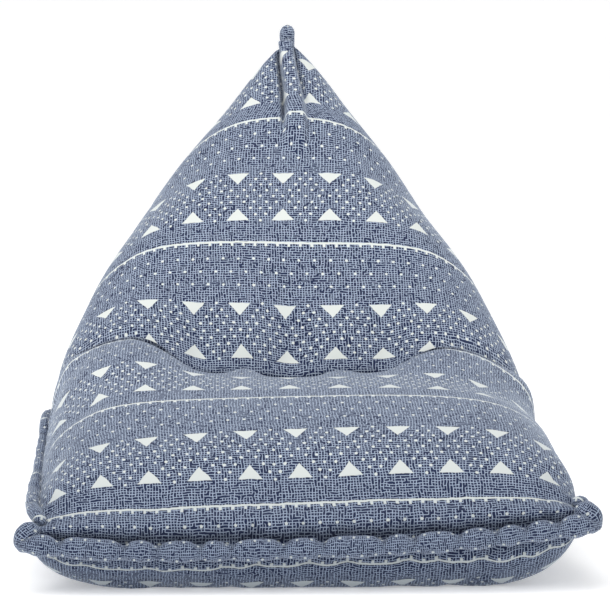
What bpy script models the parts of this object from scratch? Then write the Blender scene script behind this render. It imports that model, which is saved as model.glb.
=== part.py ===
"""Pyramid bean bag lounger in one printed canvas.

Two panels, each 1.4 m long, are sewn to each other at the front edge and along both sides. The open end
is then closed the other way, upright, which makes the peaked back. Every seam is worked as a thick
stitched roll. The bag is filled, sat in, and rests on a flat patch of its underside.

The frame: +X to the right of someone who faces the seat, +Y to the back, +Z up, the origin on the floor
under the middle of the part's box. All sizes are in metres, angles in degrees.
"""
import math
from typing import NamedTuple

import bmesh
import bpy
import numpy as np

PANEL_START = -0.0065
PANEL_LENGTH = 1.385
SEAM_HEIGHT = 0.0735
BACK_FOOT_DEPTH = 1.150
BACK_FOOT_LIFT = 0.050
FLOOR_SINK = 0.014
UNDER_POWER = 3.0
WALK_STEP = 0.001
ARC_PARTS = 97
FRONT_ROLL_CLEAR = 0.0006
CORNER_CLEAR = 0.0016
SIDE_ROLL_CLEAR = 0.0011
BACK_ROLL_CLEAR = 0.0006
ORIGIN_DEPTH = 0.5717
ORIGIN_SHIFT = 0.0139

FRONT_ROLL_RADIUS = 0.0150
SIDE_ROLL_RADIUS = 0.0108
SIDE_ROLL_SKIP = (0.084, 0.046)
BACK_ROLL_RADIUS = 0.0140
ROLL_SIDES = 10
FRONT_ROLL_TURN_UP = 0.055
KNOB_SWELL = (0.10, 0.20)
KNOB_SPAN = (0.36, 0.43)
FINGER_LENGTH = 0.019
FINGER_LEAN = 0.008
BACK_BOW = 0.018
PEAK_LEAN = 0.010
CREASE_SPREAD = 0.14
CREASE_NEAR = (0.40, 0.50, 0.74, 0.84)
CREASE_FADE_START = 40.0
CREASE_FADE_END = 82.0
RIGHT_SEAM_DROP = 10.0
RIGHT_SEAM_SPAN = (0.03, 0.11, 0.58, 0.76)
RIGHT_BULGE = 0.016
RIGHT_BULGE_SPAN = (0.08, 0.19, 0.36, 0.60)
SEAM_SMOOTHING = 15


class Section(NamedTuple):
    """One section across the bag, at a distance along the top panel from the front seam."""

    run: float
    slope: float
    half_width: float
    crown: float
    seam_turn: float


SECTIONS = (
    Section(run=0.000, slope=76.0, half_width=0.425, crown=2.6, seam_turn=84.0),
    Section(run=0.030, slope=72.0, half_width=0.426, crown=2.6, seam_turn=77.0),
    Section(run=0.061, slope=62.0, half_width=0.426, crown=2.7, seam_turn=72.0),
    Section(run=0.110, slope=45.5, half_width=0.423, crown=3.1, seam_turn=77.0),
    Section(run=0.190, slope=27.0, half_width=0.415, crown=3.4, seam_turn=84.0),
    Section(run=0.280, slope=17.0, half_width=0.412, crown=3.3, seam_turn=87.0),
    Section(run=0.380, slope=7.5, half_width=0.412, crown=3.3, seam_turn=88.0),
    Section(run=0.470, slope=0.5, half_width=0.413, crown=3.1, seam_turn=88.0),
    Section(run=0.560, slope=-10.0, half_width=0.415, crown=3.2, seam_turn=87.0),
    Section(run=0.614, slope=-20.0, half_width=0.416, crown=4.0, seam_turn=86.0),
    Section(run=0.635, slope=54.0, half_width=0.416, crown=4.0, seam_turn=86.0),
    Section(run=0.680, slope=58.0, half_width=0.414, crown=3.6, seam_turn=88.0),
    Section(run=0.760, slope=54.5, half_width=0.402, crown=3.8, seam_turn=90.0),
    Section(run=0.900, slope=53.0, half_width=0.367, crown=3.6, seam_turn=93.0),
    Section(run=1.040, slope=42.5, half_width=0.320, crown=3.0, seam_turn=93.0),
    Section(run=1.180, slope=48.0, half_width=0.258, crown=2.6, seam_turn=92.0),
    Section(run=1.290, slope=45.0, half_width=0.178, crown=2.4, seam_turn=90.0),
    Section(run=1.345, slope=52.0, half_width=0.113, crown=2.5, seam_turn=90.0),
    Section(run=1.385, slope=50.0, half_width=0.026, crown=2.6, seam_turn=90.0),
)


class Turn(NamedTuple):
    """How the underside's centre line turns down from the front seam to the floor."""

    run: float
    slope: float


UNDER_TURNS = (
    Turn(run=0.000, slope=-80.0),
    Turn(run=0.025, slope=-78.0),
    Turn(run=0.050, slope=-66.0),
    Turn(run=0.075, slope=-42.0),
    Turn(run=0.100, slope=-20.0),
    Turn(run=0.130, slope=0.0),
)


class Swell(NamedTuple):
    """A soft rise (or dent, with a negative height) of the top panel, by its place on the cloth."""

    across: float
    run: float
    across_reach: float
    ahead: float
    behind: float
    height: float


SWELLS = (
    Swell(across=-0.155, run=0.680, across_reach=0.030, ahead=0.050, behind=0.075, height=-0.013),
    Swell(across=0.000, run=0.680, across_reach=0.034, ahead=0.050, behind=0.090, height=-0.015),
    Swell(across=0.165, run=0.680, across_reach=0.030, ahead=0.050, behind=0.075, height=-0.011),
    Swell(across=-0.075, run=0.700, across_reach=0.050, ahead=0.050, behind=0.060, height=0.006),
    Swell(across=0.080, run=0.700, across_reach=0.050, ahead=0.050, behind=0.060, height=0.006),
    Swell(across=-0.040, run=1.300, across_reach=0.013, ahead=0.090, behind=0.090, height=-0.016),
    Swell(across=0.044, run=1.310, across_reach=0.016, ahead=0.080, behind=0.080, height=-0.010),
)


class Shoulder(NamedTuple):
    """A shoulder that the seat raises beside the sitter and leans back over the crease."""

    across: float
    inner_reach: float
    outer_reach: float
    height: float
    kept: float
    ahead: float
    lean: float


SHOULDERS = (
    Shoulder(across=-0.285, inner_reach=0.105, outer_reach=0.300, height=0.080, kept=0.55, ahead=0.165, lean=0.018),
    Shoulder(across=0.270, inner_reach=0.105, outer_reach=0.190, height=0.062, kept=0.45, ahead=0.110, lean=0.014),
)
SHOULDER_CREST = 0.630
SHOULDER_DROP = 0.012
SHOULDER_BEHIND = 0.150
LEAN_AHEAD = 0.050
SEAM_SETTLE = 0.65
SEAM_NEAR = (0.82, 0.97)
UNDER_NEAR = (0.78, 1.0)

FRONT_TILT = 0.0135
FRONT_TILT_END = 0.55
CORNER_LIFT = 0.0220
CORNER_LIFT_END = 0.26
FRONT_DRIFT = 0.0125
FRONT_DRIFT_END = 0.35
WAIST_DRIFT = 0.0050
WAIST_RUN = 0.640
WAIST_REACH = 0.110

RIDGE_START = 1.100
RIDGE_FULL = 1.190
RIDGE_HEIGHT = 0.018
RIDGE_HALF_WIDTH = 0.019

SCALLOPS = (0.049, 0.051, 0.100, 0.052, 0.066, 0.048, 0.082, 0.060, 0.095, 0.047, 0.070, 0.058)
SCALLOP_PINCH = 0.11
STITCH_REACH = 0.008

ACROSS_STEPS = 17
ACROSS_GATHER = 1.30


def smooth_columns(runs, rows, name):
    """Values of one column of a table at the given runs, eased so that no row overshoots."""
    at = np.array([row.run for row in rows])
    value = np.array([getattr(row, name) for row in rows])
    gap = np.diff(at)
    rate = np.diff(value) / gap
    tangent = np.zeros(len(at))
    tangent[0], tangent[-1] = rate[0], rate[-1]
    for i in range(1, len(at) - 1):
        if rate[i - 1] * rate[i] > 0:
            first = 2 * gap[i] + gap[i - 1]
            second = gap[i] + 2 * gap[i - 1]
            tangent[i] = (first + second) / (first / rate[i - 1] + second / rate[i])
    i = np.clip(np.searchsorted(at, runs, side="right") - 1, 0, len(gap) - 1)
    t = np.clip((runs - at[i]) / gap[i], 0.0, 1.0)
    rise = value[i] * (1 + 2 * t) * (1 - t) ** 2 + value[i + 1] * t * t * (3 - 2 * t)
    return rise + gap[i] * t * (1 - t) * (tangent[i] * (1 - t) - tangent[i + 1] * t)


def ease(value, start, end):
    """0 before start, 1 after end, and a smooth step between them."""
    t = np.clip((value - start) / (end - start), 0.0, 1.0)
    return t * t * (3 - 2 * t)


def walk(slopes, step):
    """Depth and height reached by walking along a line of the given slopes."""
    depth = np.concatenate([[0.0], np.cumsum(np.cos(slopes[:-1])) * step])
    height = np.concatenate([[0.0], np.cumsum(np.sin(slopes[:-1])) * step])
    return depth, height + SEAM_HEIGHT


def centre_lines(runs):
    """The middle line of the top panel and of the underside, as (depth, height) at each run."""
    steps = np.linspace(PANEL_START, PANEL_LENGTH, round((PANEL_LENGTH - PANEL_START) / WALK_STEP) + 1)
    step = steps[1] - steps[0]
    top_slopes = np.interp(steps, [s.run for s in SECTIONS], [s.slope for s in SECTIONS])
    top_depth, top_height = walk(np.radians(top_slopes), step)
    low_slopes = np.interp(steps, [t.run for t in UNDER_TURNS], [t.slope for t in UNDER_TURNS])
    low_depth, low_height = walk(np.radians(low_slopes), step)
    turn_end = UNDER_TURNS[-1].run
    landing = np.interp(turn_end, steps, low_height) + FLOOR_SINK
    low_height = low_height - landing * np.clip(steps / turn_end, 0.0, 1.0)
    start = np.interp(turn_end, steps, low_depth)
    tail = np.clip((steps - turn_end) / (PANEL_LENGTH - turn_end), 0.0, 1.0)
    low_depth = np.where(steps < turn_end, low_depth, start + tail * (BACK_FOOT_DEPTH - start))
    low_height = low_height + (BACK_FOOT_LIFT + FLOOR_SINK) * ease(steps, PANEL_LENGTH - 0.16, PANEL_LENGTH) ** 2
    top = np.stack([np.interp(runs, steps, top_depth), np.interp(runs, steps, top_height)], axis=1)
    low = np.stack([np.interp(runs, steps, low_depth), np.interp(runs, steps, low_height)], axis=1)
    return top, low


def softened_lift(runs):
    """How much higher the top's middle line would lie at each run if the crease were filled."""
    steps = np.linspace(0.0, PANEL_LENGTH, round(PANEL_LENGTH / (5 * WALK_STEP)) + 1)
    top, _ = centre_lines(steps)
    reach = np.linspace(-CREASE_SPREAD, CREASE_SPREAD, 15)
    weight = np.cos(reach / CREASE_SPREAD * math.pi / 2) ** 2
    height = sum(w * np.interp(steps + r, steps, top[:, 1]) for r, w in zip(reach, weight)) / weight.sum()
    near = ease(steps, *CREASE_NEAR[:2]) * (1 - ease(steps, *CREASE_NEAR[2:]))
    return np.interp(runs, steps, (height - top[:, 1]) * near)


def half_section(runs, is_top, hand):
    """Each section of one panel from its middle line to one side seam.

    Returns the points' distance out, depth and height, and their distance along the cloth.
    """
    top, low = centre_lines(runs)
    upright = top - low
    length = np.linalg.norm(upright, axis=1)
    unit = np.where(length[:, None] > 1e-6, upright / np.maximum(length, 1e-6)[:, None], np.array([[0.0, 1.0]]))
    half_width = smooth_columns(runs, SECTIONS, "half_width")[:, None]
    crown = smooth_columns(runs, SECTIONS, "crown")[:, None]
    start, full, leave, end = RIGHT_SEAM_SPAN
    lower = RIGHT_SEAM_DROP * ease(runs, start, full) * (1 - ease(runs, leave, end)) * (hand > 0)
    turn = np.radians(smooth_columns(runs, SECTIONS, "seam_turn") + lower)[:, None]
    start, full, leave, end = RIGHT_BULGE_SPAN
    bulge = RIGHT_BULGE * ease(runs, start, full) * (1 - ease(runs, leave, end)) * (hand > 0)
    half_width = half_width + bulge[:, None]
    part = np.linspace(0.0, 1.0, ARC_PARTS)[None, :]
    angle = turn * part if is_top else math.pi - (math.pi - turn) * part
    power = np.where(np.cos(angle) > 0, crown, UNDER_POWER)
    x = half_width * np.abs(np.sin(angle)) ** (2 / power)
    part_up = np.sign(np.cos(angle)) * np.abs(np.cos(angle)) ** (2 / power)
    h = (length / 2)[:, None] * part_up
    middle = (top + low) / 2
    y = middle[:, :1] + h * unit[:, :1]
    z = middle[:, 1:] + h * unit[:, 1:]
    # the seat's crease is sharp in the middle and is filled towards the side seams
    fade = ease(np.degrees(angle), CREASE_FADE_START, CREASE_FADE_END) * (1 + part_up) / 2
    z = z + fade * softened_lift(runs)[:, None]
    gaps = np.sqrt(np.diff(x, axis=1) ** 2 + np.diff(y, axis=1) ** 2 + np.diff(z, axis=1) ** 2)
    arc = np.concatenate([np.zeros((len(runs), 1)), np.cumsum(gaps, axis=1)], axis=1)
    return x, y, z, arc


def panel_points(across, runs, is_top):
    """Points of one panel.

    across runs from -1 at the left side seam to 1 at the right one, in equal parts of the cloth. Returns
    the points and the distance across the cloth from its middle line, both by run and by across.
    """
    points = np.zeros((len(runs), len(across), 3))
    cloth = np.zeros((len(runs), len(across)))
    for hand in (-1.0, 1.0):
        x, y, z, arc = half_section(runs, is_top, hand)
        half = across * hand >= 0
        for i in range(len(runs)):
            at = np.abs(across[half]) * arc[i, -1]
            points[i, half, 0] = np.interp(at, arc[i], x[i]) * hand
            points[i, half, 1] = np.interp(at, arc[i], y[i])
            points[i, half, 2] = np.interp(at, arc[i], z[i])
            cloth[i, half] = at * hand
    part = np.ones(len(across)) if is_top else ease(np.abs(across), *UNDER_NEAR)
    seam_near = ease(np.abs(across), *SEAM_NEAR)[None, :]
    out = points[:, :, 0].copy()
    for shoulder in SHOULDERS:
        back, lift = shoulder_shift(shoulder, out, runs[:, None], seam_near)
        points[:, :, 1] += back * part[None, :]
        points[:, :, 2] += lift * part[None, :]
    if is_top:
        # the edge rows stay on the seams, and the swells fade towards them
        inner = (1.0 - np.abs(across)[None, :] ** 6) * (1.0 - ease(runs, PANEL_LENGTH - 0.04, PANEL_LENGTH))[:, None]
        points = points + face_normals(points) * (swell_heights(cloth, runs) * inner)[:, :, None]
    part_out = points[:, :, 0] / SECTIONS[0].half_width
    rise = FRONT_TILT * part_out * (1 - ease(runs, 0.2, FRONT_TILT_END))[:, None]
    rise += CORNER_LIFT * np.abs(part_out) ** 3 * (1 - ease(runs, 0.0, CORNER_LIFT_END))[:, None]
    points[:, :, 2] += rise * ease(points[:, :, 2], 0.0, 0.06)
    drift = FRONT_DRIFT * (1 - ease(runs, 0.0, FRONT_DRIFT_END))
    drift += WAIST_DRIFT * np.exp(-(((runs - WAIST_RUN) / WAIST_REACH) ** 2))
    points[:, :, 0] += drift[:, None]
    points[:, :, 2] = np.maximum(points[:, :, 2], 0.0)
    peak = centre_lines(np.array([PANEL_LENGTH]))[0][0, 1]
    part_up = np.clip(points[:, :, 2] / peak, 0.0, 1.0)
    points[:, :, 1] += BACK_BOW * ease(runs, 0.9, PANEL_LENGTH)[:, None] * np.sin(math.pi * part_up)
    points[:, :, 0] += peak_lean(part_up)
    return points, cloth


def shoulder_shift(shoulder, across, run, seam_near):
    """How far a shoulder moves the cloth to the back and up; seam_near is 1 where the crease has run out."""
    reach = np.where(np.abs(across) > abs(shoulder.across), shoulder.outer_reach, shoulder.inner_reach)
    side = np.exp(-(((across - shoulder.across) / reach) ** 2)) * (across * shoulder.across > 0)
    off = run - SHOULDER_CREST
    fold = np.exp(-((off / SHOULDER_DROP) ** 2))
    kept = shoulder.kept + (1 - shoulder.kept) * seam_near
    after = kept * np.exp(-((off / SHOULDER_BEHIND) ** 2)) + (1 - kept) * fold
    height = shoulder.height * (1 - SEAM_SETTLE * seam_near)
    lift = height * side * np.where(off < 0, np.exp(-((off / shoulder.ahead) ** 2)), after)
    back = shoulder.lean * side * (1 - seam_near) * np.where(off < 0, np.exp(-((off / LEAN_AHEAD) ** 2)), fold)
    return back, lift


def peak_lean(part_up):
    """How far to the right the peak stands at a part of the full height."""
    return PEAK_LEAN * ease(part_up, 0.60, 0.92)


def swell_heights(cloth, runs):
    """How far the top panel stands off its plain loft: shoulders, dents, and the pinched ridge."""
    run = runs[:, None]
    height = np.zeros(cloth.shape)
    for s in SWELLS:
        reach = np.where(run < s.run, s.ahead, s.behind)
        height += s.height * np.exp(-(((cloth - s.across) / s.across_reach) ** 2) - ((run - s.run) / reach) ** 2)
    rise = ease(run, RIDGE_START, RIDGE_FULL)
    width = RIDGE_HALF_WIDTH * (1.25 - 0.45 * ease(run, RIDGE_START, PANEL_LENGTH))
    return height + RIDGE_HEIGHT * rise * np.exp(-((cloth / width) ** 4))


def face_normals(points):
    """Outward directions of a top panel's grid of points."""
    along = np.gradient(points, axis=0)
    across = np.gradient(points, axis=1)
    normal = np.cross(across, along)
    return normal / np.maximum(np.linalg.norm(normal, axis=2), 1e-9)[:, :, None]


def across_steps():
    """Places across a panel, closer together towards its middle line."""
    half = (np.arange(1, ACROSS_STEPS + 1) / ACROSS_STEPS) ** ACROSS_GATHER
    return np.concatenate([-half[::-1], [0.0], half])


def run_steps():
    """Places along a panel, closer together at the front seam, the seat's crease and the peak."""
    spans = (
        (PANEL_START, 0.12, 6), (0.12, 0.56, 11), (0.56, 0.60, 3), (0.60, 0.66, 8), (0.66, 0.72, 3), (0.72, 1.15, 11),
        (1.15, PANEL_LENGTH, 10),
    )
    steps = [np.linspace(start, end, count, endpoint=False) for start, end, count in spans]
    return np.concatenate(steps + [np.array([PANEL_LENGTH])])


def to_part_frame(points):
    """Moves points from the front seam's frame to the part's own."""
    return np.asarray(points) - np.array([ORIGIN_SHIFT, ORIGIN_DEPTH, 0.0])


def new_object(name, mesh_tool, material):
    """Links one closed mesh as a named object with its faces pointing out."""
    bmesh.ops.remove_doubles(mesh_tool, verts=mesh_tool.verts, dist=1e-5)
    bmesh.ops.dissolve_degenerate(mesh_tool, edges=mesh_tool.edges, dist=1e-5)
    bmesh.ops.recalc_face_normals(mesh_tool, faces=mesh_tool.faces)
    mesh = bpy.data.meshes.new(name)
    mesh_tool.to_mesh(mesh)
    mesh_tool.free()
    mesh.shade_smooth()
    mesh.materials.append(material)
    item = bpy.data.objects.new(name, mesh)
    bpy.context.scene.collection.objects.link(item)
    return item


def new_material(name, colour, roughness):
    """A plain cloth colour."""
    material = bpy.data.materials.new(name)
    material.use_nodes = True
    shader = material.node_tree.nodes["Principled BSDF"]
    shader.inputs["Base Color"].default_value = (*colour, 1.0)
    shader.inputs["Roughness"].default_value = roughness
    return material


def add_grid(tool, points):
    """Adds a grid of points and its faces, and returns the vertices."""
    verts = [[tool.verts.new(p) for p in row] for row in points]
    for near, far in zip(verts, verts[1:]):
        for a, b, c, d in zip(near, near[1:], far[1:], far):
            tool.faces.new((a, b, c, d))
    return verts


def build_bag(material):
    """The filled body: top panel, underside and the narrow closing edge behind."""
    across, runs = across_steps(), run_steps()
    top, _ = panel_points(across, runs, True)
    low, _ = panel_points(across, runs, False)
    low[0] = top[0]
    low[:, 0] = top[:, 0]
    low[:, -1] = top[:, -1]
    tool = bmesh.new()
    top_verts = add_grid(tool, to_part_frame(top))
    low_verts = add_grid(tool, to_part_frame(low))
    for verts in (top_verts, low_verts):
        edge = verts[-1]
        middle = ACROSS_STEPS
        for i in range(middle):
            left, left_in = edge[i], edge[i + 1]
            right, right_in = edge[-1 - i], edge[-2 - i]
            if left_in is right_in:
                tool.faces.new((left, left_in, right))
            else:
                tool.faces.new((left, left_in, right_in, right))
    return new_object("bag", tool, material)


def pinch_factor(lengths):
    """How the stitches draw in a roll, from 1 on a scallop's crown to less at a stitch."""
    rounds = math.ceil(lengths[-1] / sum(SCALLOPS))
    stitches = np.concatenate([[0.0], np.cumsum(SCALLOPS * rounds)])
    nearest = np.min(np.abs(lengths[:, None] - stitches[None, :]), axis=1)
    return 1.0 - SCALLOP_PINCH * np.exp(-((nearest / STITCH_REACH) ** 2))


def build_roll(name, path, outward, radius, clear, spacing, skip, material):
    """A stitched roll: a tube with domed ends whose rings follow a path.

    path holds points on the seam, outward the unit directions in which the roll stands off it, at the
    distance clear, and radius its size at each point. skip is what is left off at its two ends.
    """
    radius = np.broadcast_to(radius, len(path))
    centres = path + outward * (radius * math.cos(math.pi / ROLL_SIDES) + clear)[:, None]
    centres, outward, radius = resample(centres, outward, radius, spacing, skip)
    lengths = np.concatenate([[0.0], np.cumsum(np.linalg.norm(np.diff(centres, axis=0), axis=1))])
    radii = radius * pinch_factor(lengths)
    tangents = np.gradient(centres, axis=0)
    tangents /= np.linalg.norm(tangents, axis=1)[:, None]
    tool = bmesh.new()
    rings = []

    def ring(centre, tangent, side, size):
        side = side - tangent * np.dot(side, tangent)
        side /= np.linalg.norm(side)
        other = np.cross(tangent, side)
        turns = [2 * math.pi * (k + 0.5) / ROLL_SIDES for k in range(ROLL_SIDES)]
        return [tool.verts.new(centre + size * (math.cos(t) * side + math.sin(t) * other)) for t in turns]

    dome = ((0.95, 0.35), (0.70, 0.72))
    for reach, size in dome:
        rings.append(ring(centres[0] - tangents[0] * radii[0] * reach, tangents[0], outward[0], radii[0] * size))
    for centre, tangent, side, size in zip(centres, tangents, outward, radii):
        rings.append(ring(centre, tangent, side, size))
    for reach, size in reversed(dome):
        rings.append(ring(centres[-1] + tangents[-1] * radii[-1] * reach, tangents[-1], outward[-1], radii[-1] * size))
    for near, far in zip(rings, rings[1:]):
        for k in range(ROLL_SIDES):
            tool.faces.new((near[k], near[(k + 1) % ROLL_SIDES], far[(k + 1) % ROLL_SIDES], far[k]))
    tool.faces.new(rings[0])
    tool.faces.new(rings[-1])
    return new_object(name, tool, material)


def resample(path, outward, radius, spacing, skip):
    """Evenly spaced points of a path between two skipped ends."""
    lengths = np.concatenate([[0.0], np.cumsum(np.linalg.norm(np.diff(path, axis=0), axis=1))])
    count = int((lengths[-1] - sum(skip)) / spacing) + 2
    at = np.linspace(skip[0], lengths[-1] - skip[1], count)
    points = np.stack([np.interp(at, lengths, path[:, k]) for k in range(3)], axis=1)
    sides = np.stack([np.interp(at, lengths, outward[:, k]) for k in range(3)], axis=1)
    return points, sides / np.linalg.norm(sides, axis=1)[:, None], np.interp(at, lengths, radius)


def smoothed(rows):
    """Averages evenly spaced rows along a line, which keeps its two ends."""
    kernel = np.hanning(SEAM_SMOOTHING + 2)[1:-1]
    kernel = kernel / kernel.sum()
    half = SEAM_SMOOTHING // 2
    before = 2 * rows[:1] - rows[half:0:-1]
    after = 2 * rows[-1:] - rows[-2 : -half - 2 : -1]
    long_rows = np.concatenate([before, rows, after])
    return np.stack([np.convolve(long_rows[:, k], kernel, mode="valid") for k in range(rows.shape[1])], axis=1)


def corner_turn(corner, hand):
    """A seam's corner, repeated, with the outward direction that turns there from the front to the side."""
    turns = np.radians(np.linspace(0.0, 90.0, 7)[1:])
    outward = np.stack([hand * np.sin(turns), -np.cos(turns), np.full(len(turns), -0.05)], axis=1)
    return np.tile(corner, (len(turns), 1)), outward


def side_seam(hand, runs):
    """Points of one side seam at evenly spaced runs, and the directions in which a roll stands off it."""
    seam, _ = panel_points(np.array([-1.0, -0.97, 0.97, 1.0]), runs, True)
    under, _ = panel_points(np.array([-1.0, -0.97, 0.97, 1.0]), runs, False)
    edge, top_in, low_in = (seam[:, 3], seam[:, 2], under[:, 2]) if hand > 0 else (seam[:, 0], seam[:, 1], under[:, 1])
    outward = np.cross(np.gradient(edge, axis=0), top_in - low_in)
    outward /= np.maximum(np.linalg.norm(outward, axis=1), 1e-9)[:, None]
    outward *= np.sign(outward[:, 0] * hand)[:, None]
    outward[:3] = (hand, 0.0, 0.0)
    outward = smoothed(outward)
    return to_part_frame(edge), outward / np.linalg.norm(outward, axis=1)[:, None]


def build_front_roll(material):
    """The roll along the front seam, which turns round both corners and a little way up the sides."""
    across = np.linspace(-1.0, 1.0, 61)
    seam = to_part_frame(panel_points(across, np.array([PANEL_START, 0.01]), True)[0])[0]
    up = np.linspace(PANEL_START, PANEL_START + FRONT_ROLL_TURN_UP, 16)
    left, left_out = corner_turn(seam[0], -1.0)
    right, right_out = corner_turn(seam[-1], 1.0)
    left_end, left_end_out = side_seam(-1.0, up)
    right_end, right_end_out = side_seam(1.0, up)
    path = np.concatenate([left_end[:0:-1], left[::-1], seam, right, right_end[1:]])
    seam_out = np.tile([0.0, -1.0, -0.10], (len(seam), 1))
    outward = np.concatenate([left_end_out[:0:-1], left_out[::-1], seam_out, right_out, right_end_out[1:]])
    outward /= np.linalg.norm(outward, axis=1)[:, None]
    left_swell, right_swell = KNOB_SWELL
    swell = left_swell * ease(-path[:, 0], *KNOB_SPAN) + right_swell * ease(path[:, 0], *KNOB_SPAN)
    radius = FRONT_ROLL_RADIUS * (1 + swell)
    clear = FRONT_ROLL_CLEAR + (CORNER_CLEAR - FRONT_ROLL_CLEAR) * np.abs(outward[:, 0])
    return build_roll("front_roll", path, outward, radius, clear, 0.0125, (0.0, 0.0), material)


def build_side_roll(name, hand, material):
    """The roll along one side seam, from the front corner to the upright seam behind."""
    runs = np.linspace(PANEL_START, PANEL_LENGTH, 200)
    path, outward = side_seam(hand, runs)
    return build_roll(name, path, outward, SIDE_ROLL_RADIUS, SIDE_ROLL_CLEAR, 0.022, SIDE_ROLL_SKIP, material)


def build_back_roll(material):
    """The roll down the upright seam, whose upper end stands over the peak like a finger."""
    across = np.linspace(0.0, 1.0, 31)
    runs = np.array([PANEL_LENGTH - 0.01, PANEL_LENGTH])
    top, _ = panel_points(across, runs, True)
    low, _ = panel_points(across, runs, False)
    seam = np.concatenate([low[-1], top[-1][::-1][1:]])
    seam[:, 0] = peak_lean(seam[:, 2] / seam[-1, 2])
    unit = seam[-1] - seam[0]
    unit /= np.linalg.norm(unit)
    out = np.array([0.0, unit[2], -unit[1]])
    reach = np.linspace(0.008, FINGER_LENGTH, 6)[:, None]
    finger = seam[-1] + unit * reach - out * FINGER_LEAN * (reach / FINGER_LENGTH) ** 2
    path = to_part_frame(np.concatenate([seam, finger]))
    outward = np.tile(out, (len(path), 1))
    return build_roll("back_roll", path, outward, BACK_ROLL_RADIUS, BACK_ROLL_CLEAR, 0.02, (0.016, 0.0), material)


def main():
    """Clears the scene and builds every piece."""
    for item in list(bpy.data.objects):
        bpy.data.objects.remove(item)
    canvas = new_material("printed_canvas", (0.115, 0.150, 0.245), 0.92)
    rolls = new_material("rolled_canvas", (0.105, 0.138, 0.228), 0.92)
    build_bag(canvas)
    build_front_roll(rolls)
    build_side_roll("left_roll", -1.0, rolls)
    build_side_roll("right_roll", 1.0, rolls)
    build_back_roll(rolls)


if __name__ == "__main__":
    main()
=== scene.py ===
"""Looks of the pyramid bean bag lounger in one printed canvas.

The frame gives the solids of the filled bag and its four rolled seams. Each is dressed here by a closer
piece in the same place: the sat-in bag with its crease, shoulders and gathers, the thick stitched rolls,
and the threads that hold them. Both panels carry one printed repeat, laid on the cloth in metres: u runs
across a panel from its middle line, v along it from the front seam.
"""
import logging
import math
from collections.abc import Iterable
from dataclasses import dataclass, field, replace
from enum import Enum

import bmesh
import bpy
import numpy as np
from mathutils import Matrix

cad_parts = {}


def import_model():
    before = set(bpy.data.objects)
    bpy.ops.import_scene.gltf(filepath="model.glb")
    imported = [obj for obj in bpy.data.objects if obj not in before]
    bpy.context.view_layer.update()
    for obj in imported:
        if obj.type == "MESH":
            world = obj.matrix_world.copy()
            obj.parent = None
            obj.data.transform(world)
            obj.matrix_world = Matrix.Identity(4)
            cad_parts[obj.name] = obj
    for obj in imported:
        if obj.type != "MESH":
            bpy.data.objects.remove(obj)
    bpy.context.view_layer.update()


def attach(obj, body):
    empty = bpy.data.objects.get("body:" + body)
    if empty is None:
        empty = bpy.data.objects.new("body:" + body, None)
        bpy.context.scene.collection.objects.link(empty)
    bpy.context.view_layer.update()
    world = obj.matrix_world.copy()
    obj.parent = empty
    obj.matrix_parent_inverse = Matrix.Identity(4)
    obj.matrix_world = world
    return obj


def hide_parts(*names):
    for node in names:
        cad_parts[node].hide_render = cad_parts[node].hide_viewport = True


LOG = logging.getLogger("lounger")
BODY = "root"
WHITE = (1.0, 1.0, 1.0, 1.0)
Array = np.ndarray
Item = bpy.types.Object
Material = bpy.types.Material
NodeTree = bpy.types.NodeTree
Socket = bpy.types.NodeSocket
# Short names for types. A pair is often where something eases in, and a span where it also eases out.
Pair = tuple[float, float]
Span = tuple[float, float, float, float]
Triple = tuple[float, float, float]


def linear(hex_colour: str) -> tuple[float, ...]:
    """Turns an sRGB hex colour into the linear one that shaders take.

    Args:
        hex_colour: Six hex digits, red first.

    Returns:
        Linear red, green, blue and an alpha of 1.
    """
    parts = [int(hex_colour[i : i + 2], 16) / 255 for i in (0, 2, 4)]
    red, green, blue = [p / 12.92 if p <= 0.04045 else ((p + 0.055) / 1.055) ** 2.4 for p in parts]
    return red, green, blue, 1.0


def ease(value: Array | float, start: float, end: float) -> Array:
    """Runs smoothly from 0 before start to 1 after end.

    Args:
        value: Where to read the step.
        start: Where it leaves 0.
        end: Where it reaches 1.

    Returns:
        The step at each value.
    """
    t = np.clip((np.asarray(value, dtype=float) - start) / (end - start), 0.0, 1.0)
    return t * t * (3 - 2 * t)


def between(value: Array | float, start: float, full: float, leave: float, end: float) -> Array:
    """Rises smoothly from 0 to 1 between start and full, and falls back between leave and end."""
    return ease(value, start, full) * (1 - ease(value, leave, end))


def bell(value: Array | float, centre: Array | float, reach: Array | float, power: int = 2) -> Array:
    """Falls smoothly from 1 at a centre towards 0 on both sides of it.

    Args:
        value: Where to read the bell.
        centre: Where it is 1.
        reach: How far from the centre it has fallen to about a third.
        power: How flat its top is, an even number.

    Returns:
        The bell at each value.
    """
    return np.exp(-(((value - centre) / reach) ** power))


def unit(vectors: Array) -> Array:
    """Scales vectors, held in the last axis, to a length of 1."""
    return vectors / np.maximum(np.linalg.norm(vectors, axis=-1, keepdims=True), 1e-9)


def smoothed(rows: Array, window: int = 15) -> Array:
    """Averages evenly spaced rows along a line, which keeps its two ends.

    Args:
        rows: Values by place and column.
        window: How many rows are averaged, an odd number.

    Returns:
        The averaged rows.
    """
    kernel = np.hanning(window + 2)[1:-1]
    kernel = kernel / kernel.sum()
    half = window // 2
    before = 2 * rows[:1] - rows[half:0:-1]
    after = 2 * rows[-1:] - rows[-2 : -half - 2 : -1]
    long_rows = np.concatenate([before, rows, after])
    columns = [np.convolve(long_rows[:, k], kernel, mode="valid") for k in range(rows.shape[1])]
    return np.stack(columns, axis=1)


def path_lengths(points: Array) -> Array:
    """Distance along a path at each of its points."""
    return np.concatenate([[0.0], np.cumsum(np.linalg.norm(np.diff(points, axis=0), axis=1))])


def rows_at(at: Array, places: Array, rows: Array) -> Array:
    """Reads rows of values between their places along a line."""
    return np.stack([np.interp(at, places, column) for column in rows.T], axis=1)


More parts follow.
